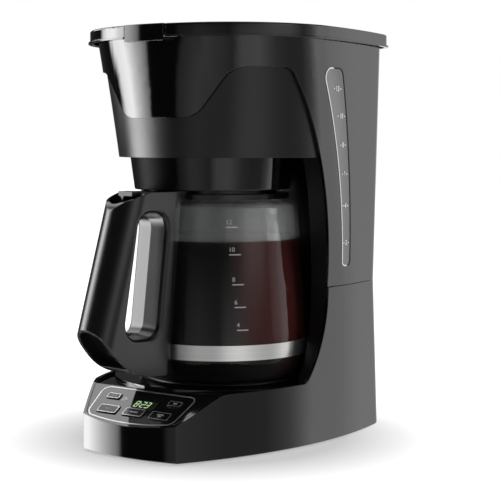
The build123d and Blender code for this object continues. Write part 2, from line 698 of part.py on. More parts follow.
def window_trim():
    """Thin bright frame round the water window."""
    frame = window_prism(WINDOW_TRIM) - window_prism(0)
    return (upper_form(-WINDOW_TRIM_PROUD) - upper_form(WALL)) & frame


def hose(points, bends, radius, bore):
    """Tube along straight runs joined by arcs."""
    path = FilletPolyline(*points, radius=bends)
    start = Plane(origin=path @ 0, z_dir=path % 0)
    return sweep(start * Circle(radius), path=path) - sweep(start * Circle(bore), path=path)


def check_valve():
    """One-way valve under the tank's outlet."""
    low_z = TANK_BOTTOM_Z - VALVE_LENGTH
    body = post(HOSE_X, HOSE_Y, low_z, TANK_BOTTOM_Z, VALVE_RADIUS)
    return body - post(HOSE_X, HOSE_Y, low_z, TANK_BOTTOM_Z, HOSE_BORE)


def cold_hose():
    """Hose from the valve down to the heater's inlet."""
    points = [
        (HOSE_X, HOSE_Y, TANK_BOTTOM_Z - VALVE_LENGTH),
        (HOSE_X, HOSE_Y, HEATER_Z),
        (HOSE_X, HEATER_END_Y, HEATER_Z),
    ]
    return hose(points, HOSE_BEND, HOSE_RADIUS, HOSE_BORE)


def riser_hose():
    """Hose from the heater's outlet up the back of the column to the spout under the lid."""
    points = [
        (-HOSE_X, HEATER_END_Y, HEATER_Z),
        (-HOSE_X, HOSE_Y, HEATER_Z),
        (-HOSE_X, HOSE_Y, SPOUT_Z),
        (-HOSE_X, SPOUT_Y, SPOUT_Z),
    ]
    return hose(points, HOSE_BEND, HOSE_RADIUS, HOSE_BORE)


def base_deck():
    """Top of the base: a flat deck, the round platform of the carafe and the screw bosses."""
    plan = lower_form(SKIRT_INSET)
    rear_y = CARAFE_Y + BAY_RADIUS + 2 * COLUMN_WALL
    behind_panel = block((-REACH, REACH), (DECK_FRONT_Y, rear_y), (0, WAIST_Z))
    deck = plan & behind_panel & slab(DECK_BOTTOM_Z, DECK_TOP_Z)
    platform = post(0, CARAFE_Y, DECK_BOTTOM_Z, DECK_TOP_Z + PLATFORM_RISE, PLATFORM_RADIUS)
    platform &= front_space(DECK_BOTTOM_Z, WAIST_Z + FIT, COLUMN_SETBACK - FIT) + post(
        0, CARAFE_Y, DECK_BOTTOM_Z, WAIST_Z, BAY_RADIUS - FIT
    )
    deck += platform & plan & behind_panel
    for x, y in boss_places():
        deck += post(x, y, COVER_TOP_Z, DECK_TOP_Z, BOSS_RADIUS)
    deck -= post(0, CARAFE_Y, DECK_BOTTOM_Z, DECK_TOP_Z + PLATFORM_RISE, PLATE_RADIUS + SEAL_WIDTH)
    for x, y in boss_places():
        deck -= post(x, y, COVER_TOP_Z, FOOT_HEIGHT + SCREW_LENGTH, SCREW_RADIUS)
    return deck


def boss_places():
    """The four screw positions under the base."""
    return [(x, y) for x in (-BOSS_X, BOSS_X) for y in (BOSS_FRONT_Y, BOSS_REAR_Y)]


def warming_plate():
    """Coated steel plate under the carafe, with a rounded edge."""
    plate = post(0, CARAFE_Y, HEATER_TOP_Z, PLATE_TOP_Z, PLATE_RADIUS)
    rim = plate.edges().filter_by(GeomType.CIRCLE).sort_by(Axis.Z)[-1]
    return fillet(rim, PLATE_THICKNESS / 2)


def plate_seal():
    """Silicone ring between the warming plate and the platform."""
    low_z, high_z = DECK_BOTTOM_Z, PLATE_TOP_Z - PLATE_THICKNESS / 2
    ring = post(0, CARAFE_Y, low_z, high_z, PLATE_RADIUS + SEAL_WIDTH)
    return ring - post(0, CARAFE_Y, low_z, high_z, PLATE_RADIUS)


def heating_element():
    """Hairpin water tube with its element, cast into a flat pad under the plate."""
    pad = post(0, CARAFE_Y, HEATER_Z + HEATER_TUBE, HEATER_TOP_Z, HEATER_PAD_RADIUS)
    right = Line((HEATER_RADIUS, HEATER_END_Y, HEATER_Z), (HEATER_RADIUS, CARAFE_Y, HEATER_Z))
    bend = ThreePointArc(
        (HEATER_RADIUS, CARAFE_Y, HEATER_Z),
        (0, CARAFE_Y - HEATER_RADIUS, HEATER_Z),
        (-HEATER_RADIUS, CARAFE_Y, HEATER_Z),
    )
    left = Line((-HEATER_RADIUS, CARAFE_Y, HEATER_Z), (-HEATER_RADIUS, HEATER_END_Y, HEATER_Z))
    path = Wire([right, bend, left])
    start = Plane(origin=path @ 0, z_dir=path % 0)
    rib = sweep(start * Rectangle(HEATER_TUBE, 2 * HEATER_TUBE), path=path)
    tube = sweep(start * Circle(HEATER_TUBE), path=path)
    web = Pos(0, 0, HEATER_TUBE / 2) * rib & slab(HEATER_Z, HEATER_Z + HEATER_TUBE + SEAM)
    return pad + tube + web - sweep(start * Circle(HOSE_BORE), path=path)


def thermostat():
    """Round thermostat clipped to the middle of the heater's pad."""
    top_z = HEATER_Z + HEATER_TUBE
    body = post(0, CARAFE_Y, top_z - THERMOSTAT_HEIGHT, top_z, THERMOSTAT_RADIUS)
    return body + post(0, CARAFE_Y, top_z - 1.5 * THERMOSTAT_HEIGHT, top_z, THERMOSTAT_RADIUS / 2)


def thermal_fuse():
    """One-shot fuse lying across the heater's pad."""
    centre = (0, CARAFE_Y + HEATER_PAD_RADIUS / 2, HEATER_Z + HEATER_TUBE - FUSE_RADIUS)
    return Pos(*centre) * Rot(0, 90, 0) * Cylinder(FUSE_RADIUS, FUSE_LENGTH)


def bottom_cover():
    """Flat cover that closes the base from below."""
    cover = extrude(creased_plan(FOOT_HEIGHT, BASE, SKIRT_INSET), amount=COVER_THICKNESS)
    cover &= lower_form(SKIRT_INSET)
    for x, y in boss_places():
        cover -= post(x, y, FOOT_HEIGHT, COVER_TOP_Z, SCREW_RADIUS)
        cover -= post(x, y, FOOT_HEIGHT, FOOT_HEIGHT + SCREW_HEAD, SCREW_HEAD_RADIUS)
    for x, y in standoff_places():
        cover += post(x, y, FOOT_HEIGHT, COVER_TOP_Z + STANDOFF, BOSS_RADIUS)
    return cover


def standoff_places():
    """The four posts that carry the power board."""
    half_x = POWER_BOARD_SIZE[0] / 2 - BOSS_RADIUS
    half_y = POWER_BOARD_SIZE[1] / 2 - BOSS_RADIUS
    return [(POWER_BOARD_X + x, POWER_BOARD_Y + y) for x in (-half_x, half_x) for y in (-half_y, half_y)]


def bottom_screws():
    """Four screws from below, through the cover into the deck's bosses."""
    screws = []
    for x, y in boss_places():
        head = post(x, y, FOOT_HEIGHT, FOOT_HEIGHT + SCREW_HEAD, SCREW_HEAD_RADIUS)
        screws.append(head + post(x, y, FOOT_HEIGHT, FOOT_HEIGHT + SCREW_LENGTH, SCREW_RADIUS))
    return Compound(children=screws)


def rubber_feet():
    """Four soft feet under the cover."""
    front = [(x, FOOT_FRONT_Y) for x in (-FOOT_FRONT_X, FOOT_FRONT_X)]
    rear = [(x, FOOT_REAR_Y) for x in (-FOOT_REAR_X, FOOT_REAR_X)]
    return Compound(children=[post(x, y, 0, FOOT_HEIGHT, FOOT_RADIUS) for x, y in front + rear])


def cord_grommet():
    """Bushing in the back of the base, where the mains lead goes in."""
    flange_radius = GROMMET_RADIUS + GROMMET_FLANGE
    inner_y = back_y(GROMMET_Z) - 3 * WALL
    seat_y = back_y(GROMMET_Z - flange_radius)
    outer_y = seat_y + GROMMET_FLANGE
    bushing = grommet_rod(GROMMET_RADIUS, inner_y, outer_y) + grommet_rod(flange_radius, seat_y, outer_y)
    return bushing - grommet_rod(GROMMET_BORE, inner_y, outer_y)


def back_y(z):
    """Where the base's back wall stands at a height."""
    share = (z - FOOT_HEIGHT) / (WAIST_Z - SEAM - FOOT_HEIGHT)
    return BASE_REAR_Y + (WAIST_REAR_Y - BASE_REAR_Y) * share


def grommet_rod(radius, low_y, high_y):
    """Round bar on the mains lead's axis."""
    centre = Pos(GROMMET_X, (low_y + high_y) / 2, GROMMET_Z)
    return centre * Rot(90, 0, 0) * Cylinder(radius, high_y - low_y)


def power_board():
    """Supply board on the cover's posts, with its relay and capacitors."""
    low_z = COVER_TOP_Z + STANDOFF
    top_z = low_z + POWER_BOARD_SIZE[2]
    board = Pos(POWER_BOARD_X, POWER_BOARD_Y, (low_z + top_z) / 2) * Box(*POWER_BOARD_SIZE)
    relay_y = POWER_BOARD_Y - POWER_BOARD_SIZE[1] / 4
    board += Pos(POWER_BOARD_X, relay_y, top_z + RELAY_SIZE[2] / 2) * Box(*RELAY_SIZE)
    for side in (-1, 1):
        x = POWER_BOARD_X + side * 1.5 * CAPACITOR_RADIUS
        y = POWER_BOARD_Y + POWER_BOARD_SIZE[1] / 4
        board += post(x, y, low_z, top_z + CAPACITOR_HEIGHT, CAPACITOR_RADIUS)
    return board


def on_panel(u, v, depth, height, size, corner=0):
    """Block on the panel's face: its middle, how deep its foot lies, its height and size."""
    outline = RectangleRounded(*size, corner) if corner else Rectangle(*size)
    return PANEL_PLANE * Pos(u, v, -depth) * extrude(outline, amount=height)


def key_places():
    """The five keys by name: place on the panel and size."""
    keys = {
        "hour_button": (-SMALL_KEY_U, SMALL_KEY_V, SMALL_KEY),
        "minute_button": (SMALL_KEY_U, SMALL_KEY_V, SMALL_KEY),
        "program_button": (-KEY_PITCH, BIG_KEY_V, BIG_KEY),
        "power_button": (0, BIG_KEY_V, BIG_KEY),
        "auto_button": (KEY_PITCH, BIG_KEY_V, BIG_KEY),
    }
    return keys


def grown(size, margin):
    """A width and height with the same margin on every side."""
    return size[0] + 2 * margin, size[1] + 2 * margin


def control_panel():
    """Sloped fascia in the front of the base, cut out for its keys, display and lamp."""
    face = PANEL_PLANE * Pos(0, PANEL_LENGTH / 2) * Rectangle(REACH, PANEL_LENGTH)
    panel = extrude(face, amount=-PANEL_THICKNESS) & lower_form(SKIRT_INSET)
    for u, v, size in key_places().values():
        panel -= on_panel(u, v, PANEL_THICKNESS, PANEL_THICKNESS, grown(size, KEY_GAP), KEY_CORNER)
    panel -= on_panel(LCD_U, LCD_V, PANEL_THICKNESS, PANEL_THICKNESS, LCD_SIZE)
    return panel - PANEL_PLANE * Pos(LAMP_U, LAMP_V) * Cylinder(LAMP_RADIUS, 3 * PANEL_THICKNESS)


def key(u, v, size):
    """One key: its cap through the fascia and the flange that keeps it in."""
    cap = on_panel(u, v, KEY_DEPTH, KEY_DEPTH + KEY_PROUD, size, KEY_CORNER)
    top = cap.faces().sort_by_distance(PANEL_PLANE.from_local_coords((u, v, KEY_PROUD)))[0]
    cap = chamfer(top.edges(), KEY_PROUD / 2)
    flange_height = KEY_DEPTH - PANEL_THICKNESS - FIT
    return cap + on_panel(u, v, KEY_DEPTH, flange_height, grown(size, KEY_FLANGE), KEY_CORNER)


def control_board():
    """Board behind the fascia: a switch under each key, the lamp's holder and two posts."""
    width, height, thickness = BOARD_SIZE
    board = on_panel(0, BOARD_V, BOARD_DEPTH, thickness, (width, height))
    top_depth = BOARD_DEPTH - thickness
    switch_height = top_depth - KEY_DEPTH - KEY_TRAVEL - FIT
    for u, v, _ in key_places().values():
        board += on_panel(u, v, BOARD_DEPTH, thickness + switch_height, (SWITCH_SIZE, SWITCH_SIZE))
    post_v = (BIG_KEY_V + SMALL_KEY_V + (BIG_KEY[1] - SMALL_KEY[1]) / 2) / 2
    post_size = (SWITCH_SIZE / 2, SWITCH_SIZE / 2)
    for side in (-1, 1):
        u = side * (width - SWITCH_SIZE) / 2
        board += on_panel(u, post_v, BOARD_DEPTH, BOARD_DEPTH - PANEL_THICKNESS, post_size)
    return board


def lcd_module():
    """Display cell behind its lens, standing on the control board."""
    foot = BOARD_DEPTH - BOARD_SIZE[2]
    stem_height = foot - LCD_LENS
    return on_panel(LCD_U, LCD_V, foot, stem_height, LCD_SIZE) & on_panel(
        LCD_U, LCD_V, foot, LCD_MODULE + stem_height, grown(LCD_SIZE, -FIT)
    )


def lcd_lens():
    """Clear cover of the display, flush with the fascia."""
    return on_panel(LCD_U, LCD_V, LCD_LENS, LCD_LENS, LCD_SIZE)


def indicator_lamp():
    """Small light pipe from the control board up through the fascia."""
    height = BOARD_DEPTH - BOARD_SIZE[2]
    return PANEL_PLANE * Pos(LAMP_U, LAMP_V, -height / 2) * Cylinder(LAMP_RADIUS, height)


def brew_basket():
    """Filter basket: a tapered cup with a flange, a floor and the drip nozzle under it."""
    wall = INNER_WALL
    outer = [
        (0, BASKET_FLOOR_Z),
        (BASKET_BOTTOM_RADIUS, BASKET_FLOOR_Z),
        (BASKET_RADIUS, BASKET_TOP_Z),
        (0, BASKET_TOP_Z),
    ]
    inner = [
        (0, BASKET_FLOOR_Z + wall),
        (BASKET_BOTTOM_RADIUS - wall, BASKET_FLOOR_Z + wall),
        (BASKET_RADIUS - wall, BASKET_TOP_Z),
        (0, BASKET_TOP_Z),
    ]
    cup = revolve(Plane.XZ * make_face(Polyline(*outer, close=True)), Axis.Z)
    cup += post(0, 0, BASKET_TOP_Z - wall, BASKET_TOP_Z, WELL_RADIUS + wall)
    cup -= revolve(Plane.XZ * make_face(Polyline(*inner, close=True)), Axis.Z)
    nozzle = post(0, 0, BASKET_FLOOR_Z - NOZZLE_LENGTH, BASKET_FLOOR_Z, NOZZLE_RADIUS)
    nozzle -= post(0, 0, BASKET_FLOOR_Z - NOZZLE_LENGTH, BASKET_FLOOR_Z, NOZZLE_RADIUS - wall)
    hole = post(0, 0, BASKET_FLOOR_Z, BASKET_FLOOR_Z + wall, STEM_HOLE_RADIUS)
    return Pos(0, BASKET_Y, 0) * (cup + nozzle - hole)


def drip_plunger():
    """Stem of the drip stop, with the tip that the carafe's lid lifts."""
    seal_z = BASKET_FLOOR_Z + INNER_WALL + FIT
    stem = post(0, BASKET_Y, DRIP_TIP_Z, seal_z + DRIP_SEAL_THICKNESS, STEM_RADIUS)
    return stem + post(0, BASKET_Y, DRIP_TIP_Z, DRIP_TIP_Z + DRIP_TIP_HEIGHT, DRIP_TIP_RADIUS)


def drip_seal():
    """Silicone disc on the stem, which closes the hole in the basket's floor."""
    seal_z = BASKET_FLOOR_Z + INNER_WALL + FIT
    disc = post(0, BASKET_Y, seal_z, seal_z + DRIP_SEAL_THICKNESS, DRIP_SEAL_RADIUS)
    return disc - post(0, BASKET_Y, seal_z, seal_z + DRIP_SEAL_THICKNESS, STEM_RADIUS)


def drip_spring():
    """Coil spring round the stem, between the tip and the basket's floor."""
    low_z = DRIP_TIP_Z + DRIP_TIP_HEIGHT + SPRING_WIRE / 2
    high_z = BASKET_FLOOR_Z - SPRING_WIRE / 2
    coil = Helix((high_z - low_z) / SPRING_TURNS, high_z - low_z, SPRING_RADIUS)
    start = Plane(origin=coil @ 0, z_dir=coil % 0)
    return Pos(0, BASKET_Y, low_z) * sweep(start * Circle(SPRING_WIRE / 2), path=coil)


def seated(shape):
    """A carafe piece in its place on the warming plate."""
    return Pos(0, CARAFE_Y, 0) * Rot(0, 0, -CARAFE_TURN) * shape


def glass_form(inset):
    """Solid of the carafe's glass: inset from its outer face, or grown if negative."""
    top_z = GLASS_TOP_Z + max(inset, 0)
    corners = [
        (0, GLASS_BOTTOM_Z),
        (GLASS_FOOT_RADIUS, GLASS_BOTTOM_Z),
        (GLASS_RADIUS, GLASS_BELLY_LOW_Z),
        (GLASS_RADIUS, GLASS_BELLY_HIGH_Z),
        (GLASS_SHOULDER_RADIUS, GLASS_SHOULDER_Z),
        (NECK_RADIUS, NECK_Z),
        (NECK_RADIUS, top_z),
    ]
    side = FilletPolyline(*corners, radius=GLASS_ROUNDS)
    half = make_face([*side.edges(), Line((NECK_RADIUS, top_z), (0, top_z)), Line((0, top_z), corners[0])])
    if inset:
        half = offset(half + mirror(half, Plane.YZ), amount=-inset)
        half &= Pos(REACH / 2, 0) * Rectangle(REACH, 4 * REACH)
    return revolve(Plane.XZ * half, Axis.Z)


def carafe_glass():
    """Blown glass jug, open at the neck."""
    return seated(glass_form(0) - glass_form(GLASS_WALL))


def ring(inner, outer, low_z, high_z):
    """Plain ring on the carafe's axis."""
    return post(0, 0, low_z, high_z, outer) - post(0, 0, low_z, high_z, inner)


def carafe_band():
    """Brushed steel band clamped round the jug's belly, over the handle's foot."""
    band = ring(GLASS_RADIUS, GLASS_RADIUS + BAND_THICKNESS, BAND_LOW_Z, BAND_LOW_Z + BAND_HEIGHT)
    return seated(band)


def carafe_collar():
    """Plastic collar on the jug's neck, which carries the lid."""
    collar = ring(NECK_RADIUS, COLLAR_RADIUS, COLLAR_LOW_Z, COLLAR_TOP_Z)
    collar += ring(COLLAR_MOUTH, COLLAR_RADIUS, GLASS_TOP_Z, COLLAR_TOP_Z)
    return seated(collar)


def handle_prism(face):
    """Face in the handle's plane, radius then height, carried across the handle's width."""
    return extrude(HANDLE_PLANE * face, amount=HANDLE_HALF_WIDTH, both=True)


def nose_prism(inset, depth, low, high):
    """Round-nosed bar along the slanted grip, from its nose back to a depth."""
    run = (NOSE_LOW[0] - NOSE_TOP[0], NOSE_LOW[1] - NOSE_TOP[1])
    length = hypot(*run)
    down = Vector(0, -run[0] / length, run[1] / length)
    out = Vector(0, run[1] / length, run[0] / length)
    section_plane = Plane(origin=(0, -NOSE_TOP[0], NOSE_TOP[1]), x_dir=out, z_dir=down)
    half = HANDLE_HALF_WIDTH - inset
    nose = -HANDLE_HALF_WIDTH
    section = make_face(
        [
            Line((-depth, -half), (nose, -half)),
            ThreePointArc((nose, -half), (nose + half, 0), (nose, half)),
            Line((nose, half), (-depth, half)),
            Line((-depth, half), (-depth, -half)),
        ]
    )
    return extrude(section_plane * Pos(0, 0, low) * section, amount=high - low)


def lever_recess(margin):
    """Channel along the top of the handle for the lid's arm and thumb lever."""
    half = LEVER_WIDTH / 2 + margin
    return block((-half, half), (-LEVER_RECESS_END, 0), (HANDLE_TOP_Z - LEVER_RECESS_DEPTH, BODY_HEIGHT))


def carafe_handle():
    """Open-ended hollow grip with a long finger slot, strapped to the jug."""
    outline = make_face(
        Polyline(
            (STRAP_INNER_R, HANDLE_TOP_Z),
            (HANDLE_SHOULDER_R, HANDLE_TOP_Z),
            NOSE_TOP,
            NOSE_LOW,
            HANDLE_END,
            STRAP_FOOT,
            (STRAP_INNER_R, STRAP_FOOT[1]),
            close=True,
        )
    )
    outline = fillet(outline.vertices().sort_by_distance((*NOSE_TOP, 0))[0], NOSE_ROUND)
    outline = fillet(outline.vertices().sort_by_distance((*HANDLE_END, 0))[0], END_ROUND)
    outline = fillet(outline.vertices().sort_by_distance((*STRAP_FOOT, 0))[0], SLOT_ROUND / 2)
    handle = handle_prism(outline) & nose_prism(0, REACH, -REACH, REACH)
    handle -= slot_cut()
    handle = fillet(slot_edges(handle), SLOT_EDGE_ROUND)
    run = NOSE_TOP[1] - NOSE_LOW[1]
    length = hypot(NOSE_LOW[0] - NOSE_TOP[0], run)
    hollow_top = (NOSE_TOP[1] - HOLLOW_TOP_Z) * length / run
    handle -= nose_prism(HANDLE_WALL, HOLLOW_DEPTH, hollow_top, REACH)
    handle -= nose_prism(HANDLE_WALL, CUP_DEPTH, -REACH, CUP_LENGTH)
    handle -= end_pocket()
    handle -= lever_recess(LEVER_RECESS_GAP)
    handle -= glass_form(-STRAP_GAP)
    handle -= collar_room(STRAP_GAP)
    saddle = block((-SADDLE_HALF_WIDTH, SADDLE_HALF_WIDTH), (-REACH, REACH), (0, BODY_HEIGHT))
    handle -= strap_relief() - saddle
    band_margin = GLASS_RADIUS + BAND_THICKNESS + FIT
    handle -= post(0, 0, BAND_LOW_Z - FIT, BAND_LOW_Z + BAND_HEIGHT + FIT, band_margin)
    return seated(handle - lid_pin_rod())


def slot_face():
    """Outline of the finger slot in the handle's plane."""
    slot = make_face(Polyline(*SLOT_CORNERS, close=True))
    return fillet(slot.vertices(), SLOT_ROUND)


def slot_cut():
    """Finger slot that opens towards both flanks from the mould's parting plane."""
    slot = HANDLE_PLANE * slot_face()
    right = extrude(slot, amount=HANDLE_HALF_WIDTH, taper=-SLOT_DRAFT)
    left = extrude(slot, amount=-HANDLE_HALF_WIDTH, taper=-SLOT_DRAFT)
    return right + left


def slot_edges(handle):
    """Both rims of the finger slot, on the handle's two flanks."""
    flanks = handle.faces().filter_by(Axis.X).sort_by(Axis.X)
    return flanks[0].inner_wires().edges() + flanks[-1].inner_wires().edges()


def end_pocket():
    """Pocket in the slanted lower end of the grip, which opens the hollow over its whole face."""
    run = (HANDLE_END[0] - NOSE_LOW[0], HANDLE_END[1] - NOSE_LOW[1])
    length = hypot(*run) - POCKET_WALL
    face = Pos(*NOSE_LOW) * Rot(0, 0, degrees(atan2(run[1], run[0]))) * Pos(length / 2 - POCKET_DEPTH, 0)
    face *= Rectangle(length + 2 * POCKET_DEPTH, 2 * POCKET_DEPTH)
    pocket = extrude(HANDLE_PLANE * face, amount=HANDLE_HALF_WIDTH - HANDLE_WALL, both=True)
    return pocket & nose_prism(HANDLE_WALL, REACH, -REACH, REACH)


def strap_relief():
    """Room between the jug and the strap's two flanks, which end at a straight slanted edge."""
    corners = [
        (0, BODY_HEIGHT),
        (STRAP_EDGE_TOP, BODY_HEIGHT),
        (STRAP_EDGE_TOP, HANDLE_TOP_Z),
        (STRAP_EDGE_LOW, STRAP_FOOT[1]),
        (STRAP_EDGE_LOW, 0),
        (0, 0),
    ]
    return handle_prism(make_face(Polyline(*corners, close=True)))


def collar_room(gap):
    """Room for the carafe's collar in the handle's inner face."""
    return post(0, 0, COLLAR_LOW_Z - STRAP_GAP, BODY_HEIGHT, COLLAR_RADIUS + gap)


def lid_pin_rod():
    """Pin across the handle's cheeks, put in from the left and hidden on the right."""
    length = 2 * SADDLE_HALF_WIDTH - LID_PIN_COVER
    return Pos(-LID_PIN_COVER / 2, -LID_PIN_R, LID_PIN_Z) * Rot(0, 90, 0) * Cylinder(LID_PIN_RADIUS, length)


def carafe_lid_pin():
    """Pin in the handle's cheeks, on which the carafe's lid turns."""
    return seated(lid_pin_rod())


def carafe_lid():
    """Flat lid with its brew-through hole, hinge knuckle and thumb lever."""
    low_z = COLLAR_TOP_Z + FIT
    top_z = low_z + CARAFE_LID_THICKNESS
    half = LEVER_WIDTH / 2
    lid = post(0, 0, low_z, top_z, CARAFE_LID_RADIUS)
    lid += block((-half, half), (-LID_PIN_R, -CARAFE_LID_RADIUS / 2), (low_z, top_z))
    lid += Pos(0, -LID_PIN_R, LID_PIN_Z) * Rot(0, 90, 0) * Cylinder(LEVER_KNUCKLE, LEVER_WIDTH)
    lid += block((-half, half), (-LEVER_TIP_R, -LID_PIN_R), (top_z - LEVER_THICKNESS, top_z))
    lid += block((-half, half), (-LEVER_TIP_R, LEVER_PAD - LEVER_TIP_R), (top_z - LEVER_THICKNESS, top_z + 1))
    bore = Cylinder(LID_PIN_RADIUS + LID_PIN_PLAY, 2 * LEVER_WIDTH)
    lid -= Pos(0, -LID_PIN_R, LID_PIN_Z) * Rot(0, 90, 0) * bore
    return seated(lid) - post(0, BASKET_Y, low_z, top_z, CARAFE_LID_HOLE)


PIECES = [
    upper_housing,
    lower_housing,
    top_rim,
    lid_hinge_pin,
    lid_cover,
    lid_shower,
    brew_head,
    drip_skirt,
    column_front,
    water_tank,
    water_window,
    window_trim,
    check_valve,
    cold_hose,
    riser_hose,
    base_deck,
    warming_plate,
    plate_seal,
    heating_element,
    thermostat,
    thermal_fuse,
    bottom_cover,
    bottom_screws,
    rubber_feet,
    cord_grommet,
    power_board,
    control_panel,
    control_board,
    lcd_module,
    lcd_lens,
    indicator_lamp,
    brew_basket,
    drip_plunger,
    drip_seal,
    drip_spring,
    carafe_glass,
    carafe_band,
    carafe_collar,
    carafe_handle,
    carafe_lid_pin,
    carafe_lid,
]

os.makedirs("parts", exist_ok=True)
for piece in PIECES:
    export_step(piece(), f"parts/{piece.__name__}.step")
for name, place in key_places().items():
    export_step(key(*place), f"parts/{name}.step")
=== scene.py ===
import math

import bpy
from mathutils import Matrix, Vector


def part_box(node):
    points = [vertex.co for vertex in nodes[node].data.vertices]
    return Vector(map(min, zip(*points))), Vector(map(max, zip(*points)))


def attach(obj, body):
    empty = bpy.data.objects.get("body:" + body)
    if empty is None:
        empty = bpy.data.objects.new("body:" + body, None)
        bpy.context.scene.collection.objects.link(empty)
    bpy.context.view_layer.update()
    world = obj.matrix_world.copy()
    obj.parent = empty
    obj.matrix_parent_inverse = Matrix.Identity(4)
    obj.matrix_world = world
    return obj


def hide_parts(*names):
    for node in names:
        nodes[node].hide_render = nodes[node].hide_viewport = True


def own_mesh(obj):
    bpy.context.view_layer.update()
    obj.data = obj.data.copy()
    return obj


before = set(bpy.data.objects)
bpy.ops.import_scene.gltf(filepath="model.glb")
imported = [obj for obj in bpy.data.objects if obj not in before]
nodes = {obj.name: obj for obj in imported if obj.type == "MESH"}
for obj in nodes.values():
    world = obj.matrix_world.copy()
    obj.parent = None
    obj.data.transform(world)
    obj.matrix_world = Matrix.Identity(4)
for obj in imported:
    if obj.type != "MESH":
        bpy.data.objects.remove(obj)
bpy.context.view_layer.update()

bpy.ops.object.select_all(action="DESELECT")

# Bottom cover and feet: a flat cover in matt black plastic closes the base from below, and four
# soft feet are glued under it. The seals, the grommet and the valve are of the same rubber.
MOTTLE_SWING = 0.15
GRAIN_HEIGHT = 0.0003
SOFT_EDGE = 0.0005


def bare_finish(name):
    """New finish, with its node tree and its shader."""
    finish = bpy.data.materials.new(name)
    finish.use_nodes = True
    tree = finish.node_tree
    return finish, tree, tree.nodes["Principled BSDF"]


def join(tree, *pairs):
    """Links each output to the input beside it."""
    for giver, taker in pairs:
        tree.links.new(giver, taker)


def spread(tree, low=0.0, high=1.0, to_low=0.0, to_high=1.0):
    """Node that maps one span of values onto another and holds at both ends."""
    node = tree.nodes.new("ShaderNodeMapRange")
    node.inputs["From Min"].default_value = low
    node.inputs["From Max"].default_value = high
    node.inputs["To Min"].default_value = to_low
    node.inputs["To Max"].default_value = to_high
    return node


def two_tones(tree, first, second, start=0.0, end=1.0):
    """Node that shades from one colour to another."""
    node = tree.nodes.new("ShaderNodeValToRGB")
    stops = node.color_ramp.elements
    stops[0].position = start
    stops[0].color = (*first, 1)
    stops[1].position = end
    stops[1].color = (*second, 1)
    return node


def noise(tree, scale, detail=2.0):
    """Node of cloudy noise."""
    node = tree.nodes.new("ShaderNodeTexNoise")
    node.inputs["Scale"].default_value = scale
    node.inputs["Detail"].default_value = detail
    return node


def relief(tree, strength, height):
    """Node that turns a pattern into fine relief."""
    node = tree.nodes.new("ShaderNodeBump")
    node.inputs["Strength"].default_value = strength
    node.inputs["Distance"].default_value = height
    return node


def moulded_plastic(name, colour, rough, grain, depth, coat=0.0, edge=SOFT_EDGE):
    """Moulded plastic: faint mottle in tone and gloss, fine surface grain and softened edges."""
    finish, tree, shader = bare_finish(name)
    less, more = 1 - MOTTLE_SWING, 1 + MOTTLE_SWING
    place = tree.nodes.new("ShaderNodeTexCoord")
    mottle = noise(tree, scale=28.0, detail=3.0)
    tone = two_tones(tree, [part * less for part in colour], [part * more for part in colour])
    gloss = spread(tree, to_low=rough * less, to_high=rough * more)
    skin = noise(tree, scale=grain)
    bump = relief(tree, depth, GRAIN_HEIGHT)
    join(
        tree,
        (place.outputs["Object"], mottle.inputs["Vector"]),
        (place.outputs["Object"], skin.inputs["Vector"]),
        (mottle.outputs["Fac"], tone.inputs["Fac"]),
        (mottle.outputs["Fac"], gloss.inputs["Value"]),
        (skin.outputs["Fac"], bump.inputs["Height"]),
        (tone.outputs["Color"], shader.inputs["Base Color"]),
        (gloss.outputs["Result"], shader.inputs["Roughness"]),
        (bump.outputs["Normal"], shader.inputs["Normal"]),
    )
    if edge:
        rounded = tree.nodes.new("ShaderNodeBevel")
        rounded.samples = 4
        rounded.inputs["Radius"].default_value = edge
        join(tree, (rounded.outputs["Normal"], bump.inputs["Normal"]))
    shader.inputs["Coat Weight"].default_value = coat
    shader.inputs["Coat Roughness"].default_value = 0.04
    return finish


def dress(finish, *names):
    """Gives carried-over nodes their finish."""
    for name in names:
        mesh = nodes[name].data
        mesh.materials.clear()
        mesh.materials.append(finish)


matt_black = moulded_plastic("matt_black", (0.02, 0.02, 0.021), rough=0.55, grain=1800.0, depth=0.5)
soft_rubber = moulded_plastic("soft_rubber", (0.03, 0.03, 0.03), rough=0.8, grain=1200.0, depth=0.6)
dress(matt_black, "bottom_cover")
dress(soft_rubber, "rubber_feet", "cord_grommet", "plate_seal", "check_valve", "drip_seal")

# Screws, pins and heat switches: zinc-plated steel. Four screws go up through the cover into the
# deck's bosses, two pins carry the lids, and a spring of the same plate closes the drip stop.
BRUSH_SWING = 0.2
BRUSH_SHADE = 0.82
BRUSH_HEIGHT = 0.0002


def plated_metal(name, colour, rough, depth, stretch=(1.0, 1.0, 1.0)):
    """Metal with drawn or brushed lines: noise stretched along the work's direction."""
    finish, tree, shader = bare_finish(name)
    place = tree.nodes.new("ShaderNodeTexCoord")
    along = tree.nodes.new("ShaderNodeMapping")
    along.inputs["Scale"].default_value = stretch
    lines = noise(tree, scale=400.0, detail=4.0)
    tone = two_tones(tree, [part * BRUSH_SHADE for part in colour], colour, start=0.3, end=0.7)
    gloss = spread(tree, to_low=rough * (1 - BRUSH_SWING), to_high=rough * (1 + BRUSH_SWING))
    bump = relief(tree, depth, BRUSH_HEIGHT)
    join(
        tree,
        (place.outputs["Object"], along.inputs["Vector"]),
        (along.outputs["Vector"], lines.inputs["Vector"]),
        (lines.outputs["Fac"], tone.inputs["Fac"]),
        (lines.outputs["Fac"], gloss.inputs["Value"]),
        (lines.outputs["Fac"], bump.inputs["Height"]),
        (tone.outputs["Color"], shader.inputs["Base Color"]),
        (gloss.outputs["Result"], shader.inputs["Roughness"]),
        (bump.outputs["Normal"], shader.inputs["Normal"]),
    )
    shader.inputs["Metallic"].default_value = 1.0
    return finish


